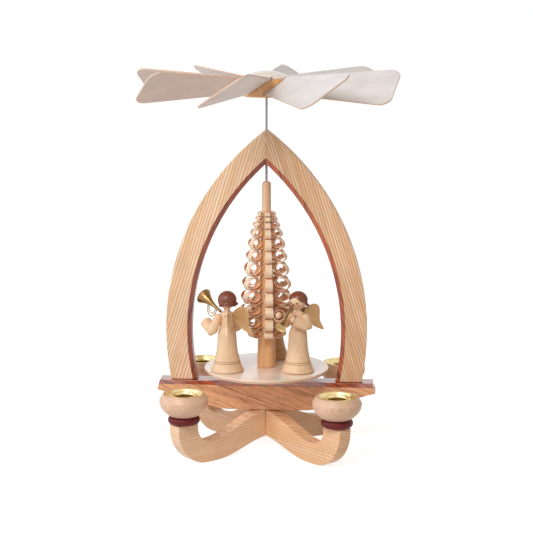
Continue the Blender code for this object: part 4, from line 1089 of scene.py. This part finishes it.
def flowing(points, steps):
    """A smooth closed outline through points."""
    outline = []
    for i in range(len(points)):
        a, b, c, d = [Vector(points[(i + k) % len(points)]) for k in (-1, 0, 1, 2)]
        for k in range(steps):
            t = k / steps
            spot = 2 * b + (c - a) * t + (2 * a - 5 * b + 4 * c - d) * t**2
            spot = spot + (3 * b - a - 3 * c + d) * t**3
            outline.append(tuple(spot / 2))
    return outline


def body_profile():
    """Neck, sloping shoulders, chest, waist groove and flared skirt."""
    socket_radius = HEAD_RADIUS + NECK_HOLLOW
    profile = [(reach, HEAD_Z - math.sqrt(socket_radius**2 - reach**2)) for reach in NECK_REACHES]
    profile += [*BODICE, (SKIRT_WAIST_RADIUS, SKIRT_HEIGHT)]
    for i in range(1, SKIRT_STEPS):
        height = SKIRT_HEIGHT * (1 - i / SKIRT_STEPS) + SKIRT_FOOT_LIFT * i / SKIRT_STEPS
        flare = (1 - height / SKIRT_HEIGHT) ** SKIRT_FLARE
        waist = max(0.0, (height - SKIRT_HIP_Z) / (SKIRT_HEIGHT - SKIRT_HIP_Z)) ** SKIRT_WAIST_CURVE
        fullness = SKIRT_HIP_RADIUS + (SKIRT_RADIUS - SKIRT_HIP_RADIUS) * flare
        profile.append((fullness - (SKIRT_HIP_RADIUS - SKIRT_WAIST_RADIUS) * waist, height))
    return profile + list(HEM)


def dab(place, half_width, half_height, material):
    """A touch of paint on the face: a thin lens that follows the ball of the head."""
    out = Vector(place).normalized()
    right = Vector((0, 0, 1)).cross(out).normalized()
    up = out.cross(right)
    angles = [-math.tau * k / 20 for k in range(20)]
    arms = [right * half_width * math.cos(a) + up * half_height * math.sin(a) for a in angles]
    rings = [[tuple(out * (HEAD_RADIUS + DAB_CREST))]]
    for share, lift in DAB_RINGS:
        spots = [out * HEAD_RADIUS + share * arm for arm in arms]
        rings.append([tuple(spot.normalized() * (HEAD_RADIUS + lift)) for spot in spots])
    rings.append([tuple(out * (HEAD_RADIUS - DAB_ROOT))])
    mesh = skin(rings)
    mesh.materials.append(material)
    return mesh


def ball(radius, middle, steps, sides):
    """A ball on the axis, its middle at a height."""
    side = arc((0.0, middle), radius, 90, -90, steps)[1:-1]
    return turned([(0.0, middle + radius)] + side + [(0.0, middle - radius)], sides)


def face_and_ball():
    """The ball of the head with two eyes, two cheeks and a mouth."""
    head = lay_grain(ball(HEAD_RADIUS, 0.0, 28, 56), (0, 0, 1), (1, 0.3, 0))
    head.materials.append(LIME_ANGEL)
    features = ((EYE, -1, EYE_PAINT), (EYE, 1, EYE_PAINT), (CHEEK, -1, CHEEK_PAINT), (CHEEK, 1, CHEEK_PAINT),
                (MOUTH, 1, CHEEK_PAINT))
    dabs = []
    for ((out, aside, up), half_width, half_height), side, material in features:
        dabs.append(dab((out, side * aside, up), half_width, half_height, material))
    return joined(head, *dabs)


def hair_spot(way, share):
    """A point of the hair, by its bearing and by its share of the way from the crown down to the hem."""
    front = (1 + math.cos(way)) / 2
    hem = HAIR_BACK_Z + (HAIR_FRONT_Z - HAIR_BACK_Z) * front**HAIR_HEM_CURVE
    hem += HAIR_HEM_WAVE * math.sin(5 * way + 0.6) * front**2
    quarter = HAIR_RADIUS * math.pi / 2
    run = HAIR_RADIUS * math.acos(hem / HAIR_RADIUS) if hem > 0 else quarter - hem
    angle = min(share * run, quarter) / HAIR_RADIUS
    height = HAIR_RADIUS * math.cos(angle) - max(0.0, share * run - quarter)
    reach = HAIR_RADIUS * math.sin(angle)
    combed = HAIR_COMB * math.cos(26 * way) * math.sin(angle) ** 2
    slant = height + HAIR_ROLL_SLANT * math.sin(way)
    rolls = sum(math.exp(-(((slant - level) / HAIR_ROLL_WIDTH) ** 2)) for level in HAIR_ROLL_HEIGHTS)
    reach += combed - HAIR_ROLL_DEPTH * rolls * (1 - front)
    return (reach * math.cos(way), reach * math.sin(way), height)


def hair_cap():
    """The carved hair: a smooth cap with two rolls low at the back, cut away over the face."""
    ways = [math.tau * k / 120 for k in range(120)]
    rings = [[hair_spot(0.0, 0.0)]]
    rings += [[hair_spot(way, i / 36) for way in ways] for i in range(1, 37)]
    rings.append([(x * 0.86, y * 0.86, z) for x, y, z in rings[-1]])
    rings.append([(0.0, 0.0, 0.0)])
    cap = skin(rings)
    cap.transform(Matrix.Translation((-HAIR_SETBACK, 0, 0)))
    flicks = []
    for side in (-1, 1):
        flicks.append(swept([(x, side * y, z) for x, y, z in FLICK_ROUTE], FLICK_RADII, 14))
    for mesh in (cap, *flicks):
        smoothed(mesh, 60)
    return joined(cap, *flicks)


def sleeve(index, side):
    """A mitred sleeve from the shoulder to a hollow cuff, with a round hand in it."""
    places = LEFT_CUFF_PLACES if side > 0 else RIGHT_CUFF_PLACES
    rises = LEFT_CUFF_RISES if side > 0 else RIGHT_CUFF_RISES
    elbow_z = CHEST_Z - ELBOW_DROPS[index]
    shoulder = Vector((SHOULDER_PLACE[0], side * SHOULDER_PLACE[1], CHEST_Z))
    elbow = Vector((ELBOW_PLACE[0], side * ELBOW_PLACE[1], elbow_z))
    cuff = Vector((places[index][0], side * places[index][1], elbow_z + rises[index]))
    forward = (cuff - elbow).normalized()
    elbow_radius = (ARM_RADIUS + CUFF_RADIUS) / 2
    route = (shoulder, elbow.lerp(shoulder, ELBOW_BENDS[0]), elbow.lerp(cuff, ELBOW_BENDS[1]), cuff)
    radii = (ARM_RADIUS, elbow_radius, elbow_radius, CUFF_RADIUS)
    nose = [(-0.7 * ARM_RADIUS * math.cos(a), ARM_RADIUS * math.sin(a)) for a in (0.2, 0.5, 0.8, 1.1, 1.35)]
    tail = ((0.0, CUFF_RADIUS - CUFF_RIM), (-CUFF_HOLLOW, CUFF_RADIUS - 2 * CUFF_RIM))
    sides = 40
    arm = swept(route, radii, sides, nose, tail)
    # The hollow inside the cuff is toned darker: painted shade in the recess.
    tone_faces(arm, [float(i >= len(arm.polygons) - 2 * sides) for i in range(len(arm.polygons))])
    hand = ball(HAND_RADIUS, HAND_OUT, 16, 32)
    hand.transform(Matrix.Translation(cuff) @ forward.to_track_quat("Z", "Y").to_matrix().to_4x4())
    return smoothed(joined(arm, hand), 30)


def horn(index):
    """A spun brass horn with a rolled bell, a thin mouthpiece and a bent wire along its tube."""
    length = HORN_LENGTHS[index]
    bell = HORN_BELL_RADII[index]
    tip = HORN_TIP_RADII[index]
    shares = [1 - i / HORN_STEPS for i in range(HORN_STEPS + 1)]
    flare = [(tip + (bell - tip) * share ** HORN_FLARES[index], length * share) for share in shares]
    mouth = flare[1:HORN_BELL_STEPS[index]]
    inside = [(max(HORN_LIP, radius - HORN_WALL), height - HORN_LIP_DEPTH) for radius, height in mouth]
    rolled = arc((bell - HORN_WALL / 2, length), HORN_WALL / 2 + HORN_LIP, 180, 0, 8)
    profile = [(0.0, inside[-1][1])] + inside[::-1] + rolled + flare[1:] + [(0.0, 0.0)]
    tube = turned(profile, 48)
    tone_faces(tube, [HORN_BELL_TONES[index] * (face.normal.z > 0.1) for face in tube.polygons])
    middle = (LOOP_STARTS[index] + LOOP_ENDS[index]) / 2
    half = (LOOP_STARTS[index] - LOOP_ENDS[index]) / 2
    bends = arc((0, 0), 1.0, 0, 180, 28)
    wires = []
    for size in LOOP_SIZES[index]:
        route = [(-LOOP_REACHES[index] * size * up, 0.0, middle + half * size * way) for way, up in bends]
        wire = swept(route, [LOOP_WIRE_RADII[index]] * len(route), 12)
        tone_faces(wire, [LOOP_TONES[index]] * len(wire.polygons))
        wires.append(wire)
    whole = joined(tube, *wires)
    lips = Vector((MOUTH_REACH, 0.0, HEAD_Z - MOUTH_DROP)) + Vector(HORN_OFFSETS[index])
    yaw = Matrix.Rotation(math.radians(HORN_YAWS[index]), 4, "Z")
    pitch = Matrix.Rotation(math.radians(90 - HORN_PITCHES[index]), 4, "Y")
    whole.transform(Matrix.Translation(lips) @ yaw @ pitch)
    return smoothed(whole, 40)


LIME = (shade(240, 204, 164), shade(222, 176, 132))
# The back figure's wood is darker: painted shade, as it stands in the shade behind the tree.
SHADED_LIME = (shade(206, 160, 108), shade(182, 132, 84))
FIGURE_WAX = {"ring": 0.0012, "pith": 0.05, "streak": 0.18, "bands": 0.5, "gloss": 0.36, "coat": 0.12,
              "shine": 0.3}
LIME_ANGEL = wood("lime_angel", *LIME, second=shade(206, 160, 122), **FIGURE_WAX)
LIME_SKIRT = wood("lime_skirt", *LIME, **FIGURE_WAX)
SHADED_SKIRT = wood("lime_skirt_painted_shade", *SHADED_LIME, **FIGURE_WAX)
for skirt_wood in (LIME_SKIRT, SHADED_SKIRT):
    striped(skirt_wood, [TREE_Z + height for height in STRIPE_HEIGHTS], STRIPE_WIDTH, shade(176, 128, 74))
HAIR_BROWN = paint("hair_brown", shade(118, 56, 30), shade(136, 70, 40), 0.32)
GOLD_PAINT = paint("gold_paint", shade(208, 164, 112), shade(200, 157, 108), 0.42, 0.2, shade(232, 198, 152))
EYE_PAINT = paint("eye_paint", shade(44, 26, 22), shade(58, 36, 30), 0.35)
CHEEK_PAINT = paint("cheek_paint", shade(206, 104, 84), shade(222, 140, 112), 0.5)
HORN_BRASS = metal("horn_brass", shade(156, 122, 78), 0.34, shade(126, 94, 52), shade(218, 188, 122))

for index, word in enumerate(ANGEL_NAMES):
    node = "angel_" + word + "_"
    way = math.radians(ANGEL_PLACES[index])
    spread = ANGEL_SPREADS[index]
    stand = Matrix.Translation((spread * math.cos(way), spread * math.sin(way), TREE_Z))
    stand = stand @ Matrix.Rotation(way + math.radians(ANGEL_FACING), 4, "Z")
    figure = turned(body_profile(), 80)
    lay_grain(figure, (0.02, 0, 1), (1, index, 0), (0.0, 0.01 * index, 0.3 * index))
    figure.transform(stand)
    skirt_wood = SHADED_SKIRT if word == "back" else LIME_SKIRT
    dress(node + "body_turned", figure, skirt_wood, "rotor", "limewood", node + "body")
    head = face_and_ball()
    head.transform(stand @ Matrix.Translation((0, 0, HEAD_Z)))
    dress(node + "head_painted", head, None, "rotor", "limewood", node + "head")
    hair = hair_cap()
    hair.transform(stand @ Matrix.Translation((0, 0, HEAD_Z)))
    dress(node + "hair_carved", hair, HAIR_BROWN, "rotor", "hair_brown", node + "head")
    for side, hand_word in ((1, "left"), (-1, "right")):
        arm = lay_grain(sleeve(index, side), (1, 0, 0.3), (0, 0.4, 1), (0.0, 0.0, side + index))
        arm.transform(stand)
        dress(node + "sleeve_" + hand_word, arm, LIME_ANGEL, "rotor", "limewood", node + "arm_" + hand_word)
        outline = [(WING_ROOT + reach, SKIRT_HEIGHT + rise) for reach, rise in flowing(WING_OUTLINE, 6)]
        wing = sanded(sawn(outline, WING_THICKNESS), WING_EDGE)
        tone_faces(wing, [float(abs(face.normal.y) < FLAT_FACE) for face in wing.polygons])
        wing.transform(stand @ Matrix.Rotation(math.radians(180 - side * WING_SPREAD), 4, "Z"))
        wing_node = node + "wing_" + hand_word
        dress(wing_node + "_sawn", wing, GOLD_PAINT, "rotor", "gold_paint", wing_node)
    pegs = []
    for bearing in PEG_BEARINGS:
        peg = turned(PEG_PROFILE, 16)
        out = Vector((math.cos(math.radians(bearing)), math.sin(math.radians(bearing)), 0.0))
        place = Matrix.Translation(out * PEG_REACH + Vector((0, 0, PEG_Z)))
        peg.transform(stand @ place @ out.to_track_quat("Z", "Y").to_matrix().to_4x4())
        pegs.append(peg)
    dress(node + "wing_pegs", joined(*pegs), EYE_PAINT, "rotor", "hair_brown", node + "body")
    trumpet = horn(index)
    trumpet.transform(stand)
    dress(node + "horn_spun", trumpet, HORN_BRASS, "rotor", "brass", node + "horn")

# Fan
# A domed beech hub on the spindle's top, sawn with eight slanted slots, and a thin birch blade glued in
# each. One blade is sawn and copied round the axis. The edges are darker, and the blades on the left are
# toned darker as painted shade.

HUB_RADIUS = 0.01725
HUB_HEIGHT = 0.0143
HUB_DOME = 0.0050
HUB_EDGE = 0.0009
HUB_SIDE_SLOPE = 0.15
BLADE_COUNT = 8
BLADE_TURN = -14.2
BLADE_PITCH = 32.4
BLADE_TENON = 0.0058
BLADE_TIP_REACH = 0.0986
BLADE_ROOT_CHORD = 0.0203
BLADE_TIP_CHORD = 0.0414
BLADE_CORNER_RADIUS = 0.0085
BLADE_LIFT = 0.0012
BLADE_THICKNESS = 0.0012
BLADE_EDGE = 0.00025
BLADE_SHADE_TONES = (0.1, 0.0, 0.0, 0.2, 0.6, 0.6, 0.2, 0.05)
FAN_Z = HUB_Z + HUB_HEIGHT / 2 + BLADE_LIFT
BLADE_ROOT_REACH = HUB_RADIUS - BLADE_TENON


def hub_profile():
    """Dome, straight side and a blind bore for the spindle."""
    radius = (HUB_RADIUS**2 + HUB_DOME**2) / (2 * HUB_DOME)
    fall = math.degrees(math.asin(HUB_RADIUS / radius))
    dome = arc((0.0, HUB_HEIGHT + HUB_DOME - radius), radius, 90, 90 - fall, 14)[1:-1]
    bore = [(SPINDLE_RADIUS + FIT, HUB_BORE_DEPTH), (0.0, HUB_BORE_DEPTH)]
    side = [dome[-1], (HUB_RADIUS, HUB_HEIGHT), (HUB_RADIUS, 0.0), (SPINDLE_RADIUS + FIT, 0.0)]
    return [(0.0, HUB_HEIGHT + HUB_DOME)] + dome[:-1] + eased(side, HUB_EDGE) + bore


def blade_outline():
    """A blade that widens to a tip with round corners."""
    root = BLADE_ROOT_CHORD / 2
    tip = BLADE_TIP_CHORD / 2
    taper = math.atan2(tip - root, BLADE_TIP_REACH - BLADE_ROOT_REACH)
    inset = BLADE_CORNER_RADIUS * (1 - math.sin(taper)) / math.cos(taper)
    centre = (BLADE_TIP_REACH - BLADE_CORNER_RADIUS, tip - inset)
    half = [(BLADE_ROOT_REACH, root)]
    half += arc(centre, BLADE_CORNER_RADIUS, 90 + math.degrees(taper), 0, 16)
    return half + [(x, -y) for x, y in reversed(half)]


# The hub's dome has a near-white colour, a painted reflection of the light above; its sides are toned to the
# beech's orange.
BEECH_HUB = wood("beech_hub", shade(236, 222, 206), shade(206, 176, 148), 0.0020, pith=0.04, streak=0.35,
                 fleck=0.4, gloss=0.32, coat=1.0, second=shade(252, 206, 152))
untoned = reckon(BEECH_HUB.node_tree, "SUBTRACT", 1.0, face_tone(BEECH_HUB.node_tree))
finish(BEECH_HUB, {"Coat Weight": untoned, "Coat IOR": 2.3, "Coat Roughness": 0.05})
BIRCH = wood("birch_ply", shade(238, 234, 231), shade(216, 206, 198), 0.0016, pith=0.2, waver=0.002,
             streak=0.4, fleck=0.3, gloss=0.5, bands=0.35, second=shade(242, 210, 184))
hub_mesh = turned(hub_profile(), 96)
hub_mesh.transform(Matrix.Translation((0, 0, HUB_Z)))
hub = loose(hub_mesh)
chord_gain = (BLADE_TIP_CHORD - BLADE_ROOT_CHORD) / (BLADE_TIP_REACH - BLADE_ROOT_REACH)
slot_half = (BLADE_ROOT_CHORD + chord_gain * BLADE_TENON) / 2 + FIT
slot_tools = []
for index in range(BLADE_COUNT):
    place = Matrix.Translation((0, 0, FAN_Z))
    place = place @ Matrix.Rotation(math.radians(BLADE_TURN + 360 / BLADE_COUNT * index), 4, "Z")
    place = place @ Matrix.Rotation(math.radians(BLADE_PITCH + 90), 4, "X")
    corners = [(BLADE_ROOT_REACH - FIT, -slot_half), (HUB_RADIUS + OVERCUT, -slot_half)]
    corners += [(x, -z) for x, z in reversed(corners)]
    slot_tools.append(sawn(corners, BLADE_THICKNESS + 2 * FIT, place))
cut(hub, *slot_tools)
hub_mesh = smoothed(taken(hub, *slot_tools))
tone_faces(hub_mesh, [float(face.normal.z < HUB_SIDE_SLOPE) for face in hub_mesh.polygons])
lay_grain(hub_mesh, (1, 0.2, 0.1), (0, 0.3, 1))
dress("fan_hub_turned", hub_mesh, BEECH_HUB, "fan", "beech", "fan_hub")

blade = sanded(sawn(blade_outline(), BLADE_THICKNESS), BLADE_EDGE)
blade.transform(Matrix.Rotation(math.pi / 2, 4, "X"))
lay_grain(blade, (1, 0.03, 0), (0, 0.5, 1))
tone_faces(blade, [float(abs(face.normal.z) < FLAT_FACE) for face in blade.polygons])
blade_values = {"Count": BLADE_COUNT, "Reach": 0.0, "Height": FAN_Z, "First turn": math.radians(BLADE_TURN),
                "Tilt": math.radians(BLADE_PITCH), "Seed": 7, "Finish": BIRCH}
blades = grown(ROUND_THE_AXIS, blade, blade_values)
blade_tones = blades.attributes["tone"].data
# Painted shade: each blade takes a tone by its bearing, darkest for the blades on the left.
for face in blades.polygons:
    bearing = math.degrees(math.atan2(face.center.y, face.center.x)) - BLADE_TURN
    shade_tone = BLADE_SHADE_TONES[round(bearing * BLADE_COUNT / 360) % BLADE_COUNT]
    blade_tones[face.index].value = max(shade_tone, blade_tones[face.index].value)
blade_nodes = ["fan_blade_%d" % (i + 1) for i in range(BLADE_COUNT)]
dress("fan_blades_sawn", blades, BIRCH, "fan", "blade_wood", *blade_nodes)

# Floor, light and camera
# A pale seamless floor, a broad lamp at the upper left front, a softer cool one at the left, and a room that
# looks white and lights warmly. The camera looks at the front from slightly above and right of its middle.

CAMERA_TURN = math.radians(4.77)
CAMERA_DISTANCE = 1.150
CAMERA_HEIGHT = 0.3325
CAMERA_DIP = math.radians(9.52)
CAMERA_LENS = 104.5
CAMERA_SENSOR = 36.0
CAMERA_RANGE = 100.0
FLOOR_SIZE = 30.0
FLOOR_COLOUR = (0.8, 0.8, 0.8, 1.0)
FLOOR_ROUGHNESS = 0.9
WHITE = (1.0, 1.0, 1.0, 1.0)
ROOM_LEVEL = 0.33
ROOM_COLOUR = (1.0, 0.88, 0.74, 1.0)
FLOOR_GLOW = 0.74
LAMP_AIM = Vector((0.0, 0.0, 0.13))
LAMPS = (
    ("key", (-0.38, -1.00, 0.98), 0.7, 10.3, (0.98, 1.0, 1.04)),
    ("side", (-1.20, -0.30, 0.55), 1.0, 4.5, (0.88, 1.03, 1.4)),
)


def seen_white(tree):
    """1 for rays that should meet the white room: straight from the camera, mirrored or through."""
    path = put(tree, "ShaderNodeLightPath").outputs
    either = reckon(tree, "MAXIMUM", path["Is Camera Ray"], path["Is Glossy Ray"])
    return reckon(tree, "MAXIMUM", either, path["Is Transmission Ray"])


room = bpy.data.worlds.new("white_room")
room.use_nodes = True
bpy.context.scene.world = room
seen = seen_white(room.node_tree)
room_light = ranged(room.node_tree, seen, 0.0, 1.0, ROOM_LEVEL, 1.0)
room_colour = mixed(room.node_tree, seen, ROOM_COLOUR, WHITE)
feed(room.node_tree.nodes["Background"], {"Strength": room_light, "Color": room_colour})

floor_shape = bmesh.new()
bmesh.ops.create_grid(floor_shape, x_segments=1, y_segments=1, size=FLOOR_SIZE / 2)
floor_mesh = bpy.data.meshes.new("floor")
floor_shape.to_mesh(floor_mesh)
floor_shape.free()
floor_material, floor_tree = bare_material("pale_floor")
floor_glow = ranged(floor_tree, seen_white(floor_tree), 0.0, 1.0, 0.0, FLOOR_GLOW)
finish(floor_material, {"Base Color": FLOOR_COLOUR, "Roughness": FLOOR_ROUGHNESS, "Emission Color": WHITE,
                        "Emission Strength": floor_glow})
floor_mesh.materials.append(floor_material)
loose(floor_mesh)

for word, place, size, power, colour in LAMPS:
    lamp = bpy.data.lights.new(word, "AREA")
    lamp.shape = "DISK"
    lamp.size = size
    lamp.energy = power
    lamp.color = colour
    lamp_object = bpy.data.objects.new(word, lamp)
    lamp_object.location = place
    lamp_object.rotation_euler = (LAMP_AIM - Vector(place)).to_track_quat("-Z", "Y").to_euler()
    bpy.context.scene.collection.objects.link(lamp_object)

camera = bpy.data.objects.new("camera", bpy.data.cameras.new("camera"))
camera_x = CAMERA_DISTANCE * math.sin(CAMERA_TURN)
camera_y = -CAMERA_DISTANCE * math.cos(CAMERA_TURN)
camera.location = (camera_x, camera_y, CAMERA_HEIGHT)
camera.rotation_euler = (math.pi / 2 - CAMERA_DIP, 0.0, CAMERA_TURN)
camera.data.lens = CAMERA_LENS
camera.data.sensor_width = CAMERA_SENSOR
camera.data.clip_end = CAMERA_RANGE
bpy.context.scene.collection.objects.link(camera)
bpy.context.scene.camera = camera
bpy.context.scene.view_settings.view_transform = "Standard"
